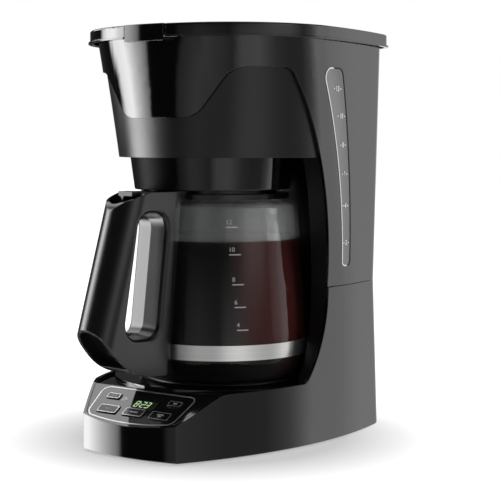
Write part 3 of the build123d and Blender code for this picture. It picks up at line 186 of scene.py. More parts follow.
zinc_plate = plated_metal("zinc_plate", (0.55, 0.55, 0.56), rough=0.32, depth=0.15)
dress(zinc_plate, "bottom_screws", "lid_hinge_pin", "carafe_lid_pin")
dress(zinc_plate, "thermostat", "thermal_fuse", "drip_spring")

# Heater and hoses: a cast aluminium hairpin tube and pad under the warming plate, fed from the
# tank through a one-way valve by milky silicone hoses that are pushed over its ends.


def shader_of(finish):
    """Shader of a finish, for what is the same all over its surface."""
    return finish.node_tree.nodes["Principled BSDF"]


cast_aluminium = plated_metal(
    "cast_aluminium", (0.62, 0.62, 0.63), rough=0.5, depth=0.5, stretch=(0.3, 0.3, 0.3)
)
dress(cast_aluminium, "heating_element")
milky_silicone = moulded_plastic("milky_silicone", (0.62, 0.61, 0.57), rough=0.42, grain=700.0, depth=0.2)
shader_of(milky_silicone).inputs["Subsurface Weight"].default_value = 0.2
shader_of(milky_silicone).inputs["Subsurface Scale"].default_value = 0.003
dress(milky_silicone, "cold_hose", "riser_hose")

# Circuit boards: green fibreglass with thin copper tracks under the lacquer. The supply board
# stands on the cover's posts and the control board hangs behind the fascia.
board_green, tree, shader = bare_finish("board_green")
place = tree.nodes.new("ShaderNodeTexCoord")
tracks = tree.nodes.new("ShaderNodeTexBrick")
tracks.inputs["Scale"].default_value = 120.0
tracks.inputs["Mortar Size"].default_value = 0.05
tracks.inputs["Color1"].default_value = (0.01, 0.09, 0.03, 1)
tracks.inputs["Color2"].default_value = (0.012, 0.11, 0.04, 1)
tracks.inputs["Mortar"].default_value = (0.03, 0.19, 0.07, 1)
join(
    tree,
    (place.outputs["Object"], tracks.inputs["Vector"]),
    (tracks.outputs["Color"], shader.inputs["Base Color"]),
)
shader.inputs["Roughness"].default_value = 0.3
dress(board_green, "power_board", "control_board")

# Base shell, deck and upper shell: injection-moulded black plastic with a high polish. The
# shells meet at a thin seam round the waist and are screwed together from below.
SHELL_EDGE = 0.0011
polished_black = moulded_plastic(
    "polished_black",
    (0.002, 0.002, 0.0022),
    rough=0.07,
    grain=45.0,
    depth=0.012,
    coat=0.35,
    edge=SHELL_EDGE,
)
dress(polished_black, "lower_housing", "base_deck", "upper_housing")

# Brew head and drip skirt: the head is a satin black moulding behind the bib, and the skirt is a
# ring set under it, dull at its left and polished from its middle to its right side.
SKIRT_POLISHED_X = 0.03
head_satin = moulded_plastic("head_satin", (0.004, 0.004, 0.0045), rough=0.3, grain=900.0, depth=0.05)
dress(head_satin, "brew_head")
skirt_black = moulded_plastic("skirt_black", (0.003, 0.003, 0.003), rough=0.35, grain=900.0, depth=0.05)
tree, shader = skirt_black.node_tree, shader_of(skirt_black)
shader.inputs["Specular IOR Level"].default_value = 0.03
place = tree.nodes.new("ShaderNodeTexCoord")
parts = tree.nodes.new("ShaderNodeSeparateXYZ")
polish = spread(tree, high=SKIRT_POLISHED_X)
join(
    tree,
    (place.outputs["Object"], parts.inputs[0]),
    (parts.outputs["X"], polish.inputs["Value"]),
    (polish.outputs["Result"], shader.inputs["Coat Weight"]),
)
dress(skirt_black, "drip_skirt")

# Column wall and water tank: plain satin mouldings inside the shell. The dark wall wraps round
# the back of the carafe, and the smoke-grey tank stands behind it.
inner_black = moulded_plastic("inner_black", (0.006, 0.006, 0.0065), rough=0.3, grain=900.0, depth=0.12)
dress(inner_black, "column_front")
smoke_grey = moulded_plastic("smoke_grey", (0.16, 0.16, 0.17), rough=0.35, grain=600.0, depth=0.1)
dress(smoke_grey, "water_tank")

# Warming plate: pressed steel disc with a dark non-stick coating, seated in a silicone ring.
# The coating is baked on and has a fine grain.
baked_coating = moulded_plastic(
    "baked_coating", (0.012, 0.012, 0.012), rough=0.33, grain=1500.0, depth=0.25
)
dress(baked_coating, "warming_plate")

# Control fascia: gloss black panel let into the sloped front of the base, with a bright printed
# line round its border that bows outwards along its foot.
PANEL_FOOT = Vector((0.0, -0.118, 0.027))
PANEL_TILT = math.radians(31.5)
BORDER_WIDTH = 0.099
BORDER_LOW_WIDTH = 0.089
BORDER_HEIGHT = 0.036
BORDER_CORNER = 0.008
BORDER_LINE = 0.0011
BORDER_BOW = 0.0035
BORDER_PLACE = (-0.001, 0.0245)
BORDER_DEPTH = 0.0002
SMOOTH_BELOW = math.radians(35)
panel_place = Matrix.Translation(PANEL_FOOT) @ Matrix.Rotation(PANEL_TILT, 4, "X")


def pick_only(piece):
    """Selects one piece and makes it the active one."""
    bpy.ops.object.select_all(action="DESELECT")
    piece.select_set(True)
    bpy.context.view_layer.objects.active = piece


def settle(piece, name, finish, body):
    """Applies a new piece's place, names and finishes it, and lets it ride on its body."""
    pick_only(piece)
    bpy.ops.object.transform_apply(location=True, rotation=True, scale=True)
    bpy.ops.object.shade_smooth_by_angle(angle=SMOOTH_BELOW)
    piece.name = name
    piece.data.name = name
    piece.data.materials.clear()
    piece.data.materials.append(finish)
    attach(piece, body)


def thicken(piece, depth):
    """Gives a flat piece its thickness, outwards from the face that it lies on."""
    solid = piece.modifiers.new("thickness", "SOLIDIFY")
    solid.thickness = depth
    solid.offset = 1.0
    pick_only(piece)
    bpy.ops.object.modifier_apply(modifier=solid.name)


def flat_strip(width, tall):
    """Flat strip at the origin, left open in edit mode."""
    bpy.ops.object.select_all(action="DESELECT")
    bpy.ops.mesh.primitive_plane_add(size=1)
    piece = bpy.context.object
    bpy.ops.object.mode_set(mode="EDIT")
    bpy.ops.transform.resize(value=(width, tall, 1))
    return piece


def bow_foot(piece, height, half, bow):
    """Divides the lowest edge of an open strip and bows it outwards."""
    bpy.ops.mesh.select_all(action="DESELECT")
    bpy.ops.object.mode_set(mode="OBJECT")
    for edge in piece.data.edges:
        first, last = (piece.data.vertices[end].co for end in edge.vertices)
        edge.select = abs(first.x - last.x) > half and first.y < 0
    bpy.ops.object.mode_set(mode="EDIT")
    bpy.ops.mesh.select_mode(type="EDGE")
    bpy.ops.mesh.subdivide(number_cuts=7)
    bpy.ops.object.mode_set(mode="OBJECT")
    for vertex in piece.data.vertices:
        if vertex.co.y < -height / 2 + 1e-5 and abs(vertex.co.x) < half:
            vertex.co.y -= bow * (1 - (vertex.co.x / half) ** 2)
    bpy.ops.object.mode_set(mode="EDIT")


def rim_line(width, height, low_width, corner, line, bow=0.0):
    """Flat closed line round a four-sided field: a plane with bevelled corners, inset and opened."""
    piece = flat_strip(width, height)
    bpy.ops.object.mode_set(mode="OBJECT")
    for vertex in piece.data.vertices:
        vertex.select = vertex.co.y < 0
    for edge in piece.data.edges:
        edge.select = all(piece.data.vertices[end].co.y < 0 for end in edge.vertices)
    for face in piece.data.polygons:
        face.select = False
    bpy.ops.object.mode_set(mode="EDIT")
    bpy.ops.transform.resize(value=(low_width / width, 1, 1))
    bpy.ops.mesh.select_all(action="SELECT")
    bpy.ops.mesh.bevel(affect="VERTICES", offset=corner, offset_type="OFFSET", segments=5)
    if bow:
        bow_foot(piece, height, low_width / 2 - corner, bow)
    bpy.ops.mesh.select_all(action="SELECT")
    bpy.ops.mesh.select_mode(type="FACE")
    bpy.ops.mesh.inset(thickness=line)
    bpy.ops.mesh.delete(type="FACE")
    bpy.ops.object.mode_set(mode="OBJECT")
    return piece


def on_panel(piece, place, lift):
    """Moves a flat piece to its place on the panel's slope."""
    piece.matrix_world = panel_place @ Matrix.Translation((*place, lift))


panel_gloss = moulded_plastic(
    "panel_gloss", (0.006, 0.006, 0.0065), rough=0.06, grain=45.0, depth=0.008, coat=0.3, edge=0.0003
)
dress(panel_gloss, "control_panel")
silver_ink = plated_metal("silver_ink", (0.72, 0.73, 0.74), rough=0.38, depth=0.1)
border = rim_line(BORDER_WIDTH, BORDER_HEIGHT, BORDER_LOW_WIDTH, BORDER_CORNER, BORDER_LINE, BORDER_BOW)
on_panel(border, BORDER_PLACE, 0.0)
thicken(border, BORDER_DEPTH)
settle(border, "panel_border_line", silver_ink, "base")

# Five keys: black caps through the fascia on their own sprung stems, each with a bright rim
# round its face and a short white print of what it does.
BIG_CAP = (0.0205, 0.0095)
SMALL_CAP = (0.014, 0.0066)
CAP_TOP = 0.001
CAP_CHAMFER = CAP_TOP / 2
CAP_CORNER = 0.0012
CAP_RIM = 0.0006
CAP_RIM_DEPTH = 0.00015
CAP_PRINT = 0.0023
CAP_PRINT_DEPTH = 0.0001
KEYS = {
    "hour": ((-0.032, 0.0313), SMALL_CAP, "HOUR"),
    "minute": ((0.032, 0.0313), SMALL_CAP, "MIN"),
    "program": ((-0.027, 0.0158), BIG_CAP, "PROG"),
    "power": ((0.0, 0.0158), BIG_CAP, "ON/OFF"),
    "auto": ((0.027, 0.0158), BIG_CAP, "AUTO\nON"),
}


def lettering(words, size, bold=0.0):
    """Flat printed words as a mesh, centred on the origin, with strokes widened on each side."""
    bpy.ops.object.select_all(action="DESELECT")
    bpy.ops.object.text_add()
    piece = bpy.context.object
    piece.data.body = words
    piece.data.size = size
    piece.data.offset = bold
    piece.data.align_x = "CENTER"
    piece.data.align_y = "CENTER"
    piece.data.space_line = 0.8
    bpy.ops.object.convert(target="MESH")
    return bpy.context.object


key_black = moulded_plastic(
    "key_black", (0.007, 0.007, 0.0075), rough=0.12, grain=700.0, depth=0.04, edge=0.0003
)
shader_of(key_black).inputs["Specular IOR Level"].default_value = 0.35
white_print = moulded_plastic(
    "white_print", (0.87, 0.87, 0.87), rough=0.5, grain=900.0, depth=0.1, edge=0
)
for key, (key_place, cap, words) in KEYS.items():
    dress(key_black, f"{key}_button")
    face_width, face_height = (side - 2 * CAP_CHAMFER for side in cap)
    rim = rim_line(face_width, face_height, face_width, CAP_CORNER, CAP_RIM)
    on_panel(rim, key_place, CAP_TOP)
    thicken(rim, CAP_RIM_DEPTH)
    settle(rim, f"{key}_key_rim", silver_ink, f"{key}_key")
    label = lettering(words, CAP_PRINT)
    on_panel(label, key_place, CAP_TOP)
    thicken(label, CAP_PRINT_DEPTH)
    settle(label, f"{key}_key_print", white_print, f"{key}_key")

# Display: a liquid-crystal cell behind a clear lens, dark green with lit slanted figures that
# read 8:23, and a small round lamp with a printed icon beside it.
DISPLAY_PLACE = (0.0025, 0.0264)
FIGURE_WIDTH = 0.0032
FIGURE_HEIGHT = 0.0062
FIGURE_STROKE = 0.0007
FIGURE_SLANT = 0.22
FIGURE_DEPTH = 0.00012
FIGURES = {-0.0068: "abcdefg", -0.0004: "abged", 0.0044: "abgcd"}
COLON_X = -0.0036
COLON_RISE = FIGURE_HEIGHT / 5
ICON_PLACE = (-0.02, 0.0298)
ICON_WIDTH = 0.004
ICON_HEIGHT = 0.003
ICON_CORNER = 0.0005
ICON_LINE = 0.0003
ICON_DEPTH = 0.00015
display_green = moulded_plastic(
    "display_green", (0.03, 0.06, 0.025), rough=0.1, grain=500.0, depth=0.02, edge=0
)
dress(display_green, "lcd_module")
lens_clear = moulded_plastic(
    "lens_clear", (0.03, 0.055, 0.025), rough=0.05, grain=60.0, depth=0.004, coat=0.2, edge=0
)
shader_of(lens_clear).inputs["Transmission Weight"].default_value = 0.35
dress(lens_clear, "lcd_lens")
lit_segment = moulded_plastic(
    "lit_segment", (0.5, 0.62, 0.42), rough=0.4, grain=500.0, depth=0.02, edge=0
)
shader_of(lit_segment).inputs["Emission Color"].default_value = (0.62, 0.85, 0.5, 1)
shader_of(lit_segment).inputs["Emission Strength"].default_value = 0.55


def segment(x, y, wide, tall):
    """One bar of a figure, added to the mesh in edit mode."""
    bpy.ops.mesh.primitive_plane_add(size=1, location=(x, y, 0))
    bpy.ops.transform.resize(value=(wide, tall, 1))
    bpy.ops.mesh.bevel(affect="VERTICES", offset=FIGURE_STROKE * 0.3, segments=1)
    bpy.ops.mesh.select_all(action="DESELECT")


half_width, half_height = FIGURE_WIDTH / 2, FIGURE_HEIGHT / 2
bars = {
    "a": (0, half_height, FIGURE_WIDTH, FIGURE_STROKE),
    "g": (0, 0, FIGURE_WIDTH, FIGURE_STROKE),
    "d": (0, -half_height, FIGURE_WIDTH, FIGURE_STROKE),
    "f": (-half_width, half_height / 2, FIGURE_STROKE, half_height),
    "b": (half_width, half_height / 2, FIGURE_STROKE, half_height),
    "e": (-half_width, -half_height / 2, FIGURE_STROKE, half_height),
    "c": (half_width, -half_height / 2, FIGURE_STROKE, half_height),
}
bpy.ops.object.select_all(action="DESELECT")
bpy.ops.mesh.primitive_plane_add(size=1)
digits = bpy.context.object
bpy.ops.object.mode_set(mode="EDIT")
bpy.ops.mesh.delete(type="VERT")
for x, lit_bars in FIGURES.items():
    for bar in lit_bars:
        right, up, wide, tall = bars[bar]
        segment(x + right, up, wide, tall)
for side in (-1, 1):
    segment(COLON_X, side * COLON_RISE, FIGURE_STROKE, FIGURE_STROKE)
bpy.ops.object.mode_set(mode="OBJECT")
for vertex in digits.data.vertices:
    vertex.co.x += FIGURE_SLANT * vertex.co.y
on_panel(digits, DISPLAY_PLACE, 0.0)
thicken(digits, FIGURE_DEPTH)
settle(digits, "display_figures", lit_segment, "base")
lamp_clear = moulded_plastic("lamp_clear", (0.35, 0.36, 0.35), rough=0.2, grain=300.0, depth=0.02, edge=0)
dress(lamp_clear, "indicator_lamp")
icon = rim_line(ICON_WIDTH, ICON_HEIGHT, ICON_WIDTH, ICON_CORNER, ICON_LINE)
on_panel(icon, ICON_PLACE, 0.0)
thicken(icon, ICON_DEPTH)
settle(icon, "lamp_icon_line", silver_ink, "base")

# Water window: a tapered strip of smoky clear plastic let into the right side panel, its colour
# darker towards its rear edge, behind a thin plated frame that carries a painted reflection, bright
# along its front edge and dark along its rear, with printed cup numbers between short ticks. Each
# mark has its place from front to rear and its height.
WINDOW_MARKS = {
    12: (0.0322, 0.2953),
    10: (0.04, 0.273),
    8: (0.0447, 0.2491),
    6: (0.049, 0.2249),
    4: (0.0524, 0.1983),
    2: (0.0562, 0.1667),
}
OUTSIDE_WINDOW = 0.13
CURVE_GAIN = 10.0
WINDOW_NUMBER = 0.0058
WINDOW_NUMBER_BOLD = 0.0002
TICK_WIDTH = 0.002
TICK_HEIGHT = 0.001
TICK_ROUND = 0.0002
TICK_REACH_BY_DIGITS = {1: 0.0036, 2: 0.0052}
PRINT_LIFT = 0.0001
PRINT_DEPTH = 0.00015
side_turn = Matrix.Rotation(math.radians(90), 4, "Z") @ Matrix.Rotation(math.radians(90), 4, "X")


def maths(tree, operation, second=None):
    """Node that works on two values, the second of them fixed where it is given."""
    node = tree.nodes.new("ShaderNodeMath")
    node.operation = operation
    if second is not None:
        node.inputs[1].default_value = second
    return node


def front_to_rear(finish, front, rear, reach):
    """Grades a finish's colour from the window's front edge to its rear edge, along its leaning middle
    line; on the frame this is a painted reflection.
    """
    tree = finish.node_tree
    place = tree.nodes.new("ShaderNodeTexCoord")
    parts = tree.nodes.new("ShaderNodeSeparateXYZ")
    middle = tree.nodes.new("ShaderNodeFloatCurve")
    line = middle.mapping.curves[0].points
    ends = sorted((z, y * CURVE_GAIN) for y, z in WINDOW_MARKS.values())
    while len(line) < len(ends):
        line.new(0.5, 0.5)
    for point, end in zip(line, ends):
        point.location = end
    middle.mapping.update()
    scaled = maths(tree, "MULTIPLY", 1 / CURVE_GAIN)
    off = maths(tree, "SUBTRACT")
    across = spread(tree, -reach, reach)
    shades = two_tones(tree, front, rear)
    join(
        tree,
        (place.outputs["Object"], parts.inputs[0]),
        (parts.outputs["Z"], middle.inputs["Value"]),
        (middle.outputs[0], scaled.inputs[0]),
        (parts.outputs["Y"], off.inputs[0]),
        (scaled.outputs[0], off.inputs[1]),
        (off.outputs[0], across.inputs["Value"]),
        (across.outputs["Result"], shades.inputs["Fac"]),
        (shades.outputs["Color"], shader_of(finish).inputs["Base Color"]),
    )


def wrapped(piece, target):
    """Presses a flat print onto the curved face that it stands in front of."""
    press = piece.modifiers.new("press", "SHRINKWRAP")
    press.target = nodes[target]
    press.wrap_method = "PROJECT"
    press.use_project_z = True
    press.use_negative_direction = True
    press.use_positive_direction = False
    press.offset = PRINT_LIFT
    pick_only(piece)
    bpy.ops.object.modifier_apply(modifier=press.name)
    thicken(piece, PRINT_DEPTH)


def before_window(y, z):
    """Place outside the window, facing outwards."""
    return Matrix.Translation((OUTSIDE_WINDOW, y, z)) @ side_turn


smoky_clear = moulded_plastic(
    "smoky_clear", (0.17, 0.17, 0.175), rough=0.1, grain=80.0, depth=0.01, coat=0.2, edge=0
)
front_to_rear(smoky_clear, (0.2, 0.2, 0.205), (0.1, 0.1, 0.105), reach=0.008)
dress(smoky_clear, "water_window")
frame_painted_reflection = plated_metal("frame_painted_reflection", (0.78, 0.78, 0.79), rough=0.25, depth=0.05)
# Painted reflection: the frame is coloured bright along its front edge and dark along its rear edge.
front_to_rear(frame_painted_reflection, (0.66, 0.66, 0.67), (0.012, 0.012, 0.013), reach=0.0015)
dress(frame_painted_reflection, "window_trim")
for cups, (y, z) in WINDOW_MARKS.items():
    number = lettering(str(cups), WINDOW_NUMBER, WINDOW_NUMBER_BOLD)
    number.matrix_world = before_window(y, z)
    wrapped(number, "water_window")
    settle(number, f"window_number_{cups}", white_print, "base")
    reach = TICK_REACH_BY_DIGITS[len(str(cups))]
    for side, name in ((-1, "front"), (1, "rear")):
        tick = flat_strip(TICK_WIDTH, TICK_HEIGHT)
        bpy.ops.mesh.bevel(affect="VERTICES", offset=TICK_ROUND, segments=2)
        bpy.ops.object.mode_set(mode="OBJECT")
        tick.matrix_world = before_window(y + side * reach, z)
        wrapped(tick, "water_window")
        settle(tick, f"window_tick_{cups}_{name}", white_print, "base")

# Filter basket and drip stop: matt black plastic, lifted out from above. The basket hangs by its
# flange in the head's well, and the stem under it is pushed up by the carafe's lid. The shower
# plate under the top lid is of the same plastic.
basket_black = moulded_plastic("basket_black", (0.018, 0.018, 0.018), rough=0.5, grain=1400.0, depth=0.4)
dress(basket_black, "brew_basket", "drip_plunger", "lid_shower")

# Drip stop spring: six turns of bright wire round the stem, from the basket's floor down to the
# tip. On the real stop it shortens from below as the stem is pushed up; this coil keeps one length.
SPRING_WIRE = 0.001
SPRING_TURNS = 6
SPRING_SIDES = 12
SPRING_STEPS = 40
spring_low, spring_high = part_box("drip_spring")
spring_middle = (spring_low + spring_high) / 2
coil_radius = (spring_high.x - spring_low.x - SPRING_WIRE) / 2
coil_rise = spring_high.z - spring_low.z - SPRING_WIRE
bpy.ops.object.select_all(action="DESELECT")
bpy.ops.mesh.primitive_circle_add(vertices=SPRING_SIDES, radius=SPRING_WIRE / 2)
spring = bpy.context.object
bpy.ops.object.mode_set(mode="EDIT")
bpy.ops.mesh.select_all(action="SELECT")
bpy.ops.transform.rotate(value=math.radians(90), orient_axis="X", center_override=(0, 0, 0))
bpy.ops.transform.translate(value=(coil_radius, 0, SPRING_WIRE / 2))
bpy.ops.object.mode_set(mode="OBJECT")
coil = spring.modifiers.new("coil", "SCREW")
coil.axis = "Z"
coil.angle = math.radians(360)
coil.iterations = SPRING_TURNS
coil.screw_offset = coil_rise / SPRING_TURNS
coil.steps = SPRING_STEPS
coil.render_steps = SPRING_STEPS
bpy.ops.object.modifier_apply(modifier=coil.name)
bpy.ops.object.mode_set(mode="EDIT")
bpy.ops.mesh.select_all(action="DESELECT")
bpy.ops.mesh.select_mode(type="EDGE")
bpy.ops.mesh.select_non_manifold()
bpy.ops.mesh.fill_holes(sides=SPRING_SIDES)
bpy.ops.mesh.select_all(action="SELECT")
bpy.ops.mesh.normals_make_consistent(inside=False)
bpy.ops.object.mode_set(mode="OBJECT")
spring.location = (spring_middle.x, spring_middle.y, spring_low.z)
settle(spring, "drip_spring_coil", zinc_plate, "basket")
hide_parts("drip_spring")
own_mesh(spring)

# Top rim and lid: the same polished plastic as the shell. The lid lies in the rim, turns on a
# steel pin at the back and is lifted by the tab at the front.
dress(polished_black, "top_rim", "lid_cover")

# Carafe jug: blown clear glass with a thin wall, steamed over in faint runs above the coffee.
# The glass lets the lamps through, and bends and mirrors what is seen in it.
STEAM_LOW = 0.1685
STEAM_FULL = 0.1735
jug_glass, tree, shader = bare_finish("jug_glass")
place = tree.nodes.new("ShaderNodeTexCoord")
smear = noise(tree, scale=18.0, detail=4.0)
gloss = spread(tree, to_low=0.0, to_high=0.03)
drips = tree.nodes.new("ShaderNodeMapping")
drips.inputs["Scale"].default_value = (22.0, 22.0, 1.2)
runs = noise(tree, scale=3.0)
film = spread(tree, low=0.35, high=0.65, to_low=0.83, to_high=0.94)
parts = tree.nodes.new("ShaderNodeSeparateXYZ")
steam = spread(tree, STEAM_LOW, STEAM_FULL, to_low=1.0)
lamp_path = tree.nodes.new("ShaderNodeLightPath")
lamp_pass = tree.nodes.new("ShaderNodeBsdfTransparent")
lamp_pick = tree.nodes.new("ShaderNodeMixShader")
join(
    tree,
    (place.outputs["Object"], smear.inputs["Vector"]),
    (place.outputs["Object"], drips.inputs["Vector"]),
    (place.outputs["Object"], parts.inputs[0]),
    (drips.outputs["Vector"], runs.inputs["Vector"]),
    (runs.outputs["Fac"], film.inputs["Value"]),
    (film.outputs["Result"], steam.inputs["To Max"]),
    (smear.outputs["Fac"], gloss.inputs["Value"]),
    (parts.outputs["Z"], steam.inputs["Value"]),
    (gloss.outputs["Result"], shader.inputs["Roughness"]),
    (steam.outputs["Result"], shader.inputs["Transmission Weight"]),
    (lamp_path.outputs["Is Shadow Ray"], lamp_pick.inputs["Fac"]),
    (shader.outputs[0], lamp_pick.inputs[1]),
    (lamp_pass.outputs[0], lamp_pick.inputs[2]),
    (lamp_pick.outputs[0], tree.nodes["Material Output"].inputs["Surface"]),
)
shader.inputs["Base Color"].default_value = (0.93, 0.94, 0.94, 1)
shader.inputs["IOR"].default_value = 1.36
dress(jug_glass, "carafe_glass")

# Carafe collar, handle, lid and band: satin black mouldings round the jug's neck, held by a
# brushed steel band that is clamped round its belly.
satin_black = moulded_plastic("satin_black", (0.01, 0.01, 0.0105), rough=0.23, grain=1600.0, depth=0.1)
dress(satin_black, "carafe_collar", "carafe_handle", "carafe_lid")
brushed_steel = plated_metal(
    "brushed_steel", (0.9, 0.89, 0.88), rough=0.36, depth=0.3, stretch=(0.02, 0.02, 4.0)
)
dress(brushed_steel, "carafe_band")

# Coffee: a liquid that fills the jug to just over the ten-cup mark. Its colour is painted light and
# shade: nearly black on its shaded left side and at its foot, and red-brown on the right, where the
# light goes into it. The lamps light it through the glass as well.
COFFEE_TOP = 0.1703
COFFEE_FLOOR = 0.0562
COFFEE_SIDES = 96
COFFEE_STEPS = 28
COFFEE_STEP_POWER = 1.3
INTO_WALL = 0.0003
ABOVE_FLOOR = 0.0002
CARAFE_AXIS = Vector((0.0, 0.0125, 0.0))
LIT_SIDE = (0.809, 0.588, 0.0)
LIT_DEPTH = 0.08
FOOT_DARK_Z = 0.074
FOOT_LIT_Z = 0.09
coffee_brown, tree, shader = bare_finish("coffee_brown")
place = tree.nodes.new("ShaderNodeTexCoord")
cloud = noise(tree, scale=14.0)
swirl = maths(tree, "MULTIPLY_ADD", 0.02)
lit_side = tree.nodes.new("ShaderNodeVectorMath")
lit_side.operation = "DOT_PRODUCT"
lit_side.inputs[1].default_value = LIT_SIDE
across = spread(tree, high=LIT_DEPTH)
parts = tree.nodes.new("ShaderNodeSeparateXYZ")
foot = spread(tree, FOOT_DARK_Z, FOOT_LIT_Z, to_low=0.4)
# Painted light and shade: red-brown towards the lit right side, nearly black on the shaded left and at
# the foot.
painted_light = maths(tree, "MULTIPLY")
tone = two_tones(tree, (0.02, 0.019, 0.018), (0.055, 0.014, 0.012), start=0.3, end=0.5)
join(
    tree,
    (place.outputs["Object"], cloud.inputs["Vector"]),
    (place.outputs["Object"], lit_side.inputs[0]),
    (place.outputs["Object"], parts.inputs[0]),
    (cloud.outputs["Fac"], swirl.inputs[0]),
    (lit_side.outputs["Value"], swirl.inputs[2]),
    (swirl.outputs[0], across.inputs["Value"]),
    (parts.outputs["Z"], foot.inputs["Value"]),
    (across.outputs["Result"], painted_light.inputs[0]),
    (foot.outputs["Result"], painted_light.inputs[1]),
    (painted_light.outputs[0], tone.inputs["Fac"]),
    (tone.outputs["Color"], shader.inputs["Base Color"]),
)
shader.inputs["Roughness"].default_value = 0.05
shader.inputs["IOR"].default_value = 1.34
shader.inputs["Specular IOR Level"].default_value = 0.08


def jug_radius(height):
    """Inner radius of the jug at a height, felt from its axis."""
    start = Vector((CARAFE_AXIS.x, CARAFE_AXIS.y, height))
    hit, place, _, _ = nodes["carafe_glass"].ray_cast(start, Vector((1, 0, 0)))
    return (place - start).length if hit else 0.0


bpy.ops.object.select_all(action="DESELECT")
height, radius = COFFEE_FLOOR, jug_radius(COFFEE_FLOOR + ABOVE_FLOOR)
bpy.ops.mesh.primitive_circle_add(
    vertices=COFFEE_SIDES, radius=radius, fill_type="NGON", location=(0, CARAFE_AXIS.y, COFFEE_FLOOR)
)
coffee = bpy.context.object
bpy.ops.object.mode_set(mode="EDIT")
bpy.ops.mesh.select_all(action="SELECT")
bpy.ops.mesh.flip_normals()
for step in range(1, COFFEE_STEPS + 1):
    share = (step / COFFEE_STEPS) ** COFFEE_STEP_POWER
    next_height = COFFEE_FLOOR + (COFFEE_TOP - COFFEE_FLOOR) * share
    next_radius = jug_radius(next_height) + INTO_WALL
    bpy.ops.mesh.extrude_region_move(TRANSFORM_OT_translate={"value": (0, 0, next_height - height)})
    widen = next_radius / radius
    bpy.ops.transform.resize(value=(widen, widen, 1), center_override=(0, CARAFE_AXIS.y, next_height))
    height, radius = next_height, next_radius
bpy.ops.mesh.select_all(action="SELECT")
bpy.ops.mesh.normals_make_consistent(inside=False)
bpy.ops.object.mode_set(mode="OBJECT")
settle(coffee, "coffee", coffee_brown, "carafe")

# Cup marks on the jug: fired white print, a number over a short bar for every two cups, on the
# right of the handle. Each mark has its compass angle and its height.
JUG_MARKS = {
    12: (44.4, 0.1825),
    10: (46.1, 0.1602),
    8: (47.8, 0.1359),
    6: (49.0, 0.1175),
    4: (50.2, 0.099),
}
OUTSIDE_JUG = 0.09
BAR_WIDTH = 0.0095
BAR_HEIGHT = 0.0009
JUG_NUMBER = 0.0052
JUG_NUMBER_RISE = 0.004
JUG_SHIFT_BY_DIGITS = {1: -0.0035, 2: -0.0026}
fired_print = moulded_plastic(
    "fired_print", (0.72, 0.72, 0.72), rough=0.45, grain=900.0, depth=0.1, edge=0
)


def before_jug(angle, height, along):
    """Place in front of the jug, facing outwards, moved along the face."""
    turn = Matrix.Rotation(math.radians(angle), 4, "Z") @ Matrix.Rotation(math.radians(90), 4, "X")
    return Matrix.Translation(CARAFE_AXIS) @ turn @ Matrix.Translation((along, height, OUTSIDE_JUG))


for cups, (angle, z) in JUG_MARKS.items():
    bar = flat_strip(BAR_WIDTH, BAR_HEIGHT)
    bpy.ops.mesh.subdivide(number_cuts=6)
    bpy.ops.object.mode_set(mode="OBJECT")
    bar.matrix_world = before_jug(angle, z, 0.0)
    wrapped(bar, "carafe_glass")
    settle(bar, f"jug_bar_{cups}", fired_print, "carafe")
    number = lettering(str(cups), JUG_NUMBER)
    shift = JUG_SHIFT_BY_DIGITS[len(str(cups))]
    number.matrix_world = before_jug(angle, z + JUG_NUMBER_RISE, shift)
    wrapped(number, "carafe_glass")
    settle(number, f"jug_number_{cups}", fired_print, "carafe")

# Studio floor: a white sweep that keeps the object's soft shadow. Seen by itself or through
# glass it glows white away from the object and dimmer close round it, a painted shadow added to
# the real one, and polished faces see the room through it.
FLOOR_SIZE = 12
FLOOR_DROP = 0.0002
PAINTED_SHADOW_RADIUS = 0.11
WHITE_RADIUS = 0.21
PAINTED_SHADOW_GLOW = 0.4
bpy.ops.object.select_all(action="DESELECT")
bpy.ops.mesh.primitive_plane_add(size=FLOOR_SIZE, location=(0, 0, -FLOOR_DROP))
floor = bpy.context.object
floor.name = "studio_floor"
floor_paint, tree, _ = bare_finish("floor_paint")
tree.nodes.clear()
out = tree.nodes.new("ShaderNodeOutputMaterial")
matt = tree.nodes.new("ShaderNodeBsdfDiffuse")
matt.inputs["Color"].default_value = (0.5, 0.5, 0.5, 1)
place = tree.nodes.new("ShaderNodeTexCoord")
away = tree.nodes.new("ShaderNodeVectorMath")
away.operation = "LENGTH"
# Painted shadow: the glow is turned down round the object's foot and rises to full white further out.
white = spread(tree, PAINTED_SHADOW_RADIUS, WHITE_RADIUS, to_low=PAINTED_SHADOW_GLOW)
path = tree.nodes.new("ShaderNodeLightPath")
seen = maths(tree, "MAXIMUM")
lit = maths(tree, "MULTIPLY")
glow = tree.nodes.new("ShaderNodeEmission")
both = tree.nodes.new("ShaderNodeAddShader")
clear = tree.nodes.new("ShaderNodeBsdfTransparent")
pick = tree.nodes.new("ShaderNodeMixShader")
join(
    tree,
    (place.outputs["Object"], away.inputs[0]),
    (away.outputs["Value"], white.inputs["Value"]),
    (path.outputs["Is Camera Ray"], seen.inputs[0]),
    (path.outputs["Is Transmission Ray"], seen.inputs[1]),
    (seen.outputs[0], lit.inputs[0]),
    (white.outputs["Result"], lit.inputs[1]),
    (lit.outputs[0], glow.inputs["Strength"]),
    (matt.outputs[0], both.inputs[0]),
    (glow.outputs[0], both.inputs[1]),
    (path.outputs["Is Glossy Ray"], pick.inputs["Fac"]),
    (both.outputs[0], pick.inputs[1]),
    (clear.outputs[0], pick.inputs[2]),
    (pick.outputs[0], out.inputs["Surface"]),
)
floor.data.materials.append(floor_paint)

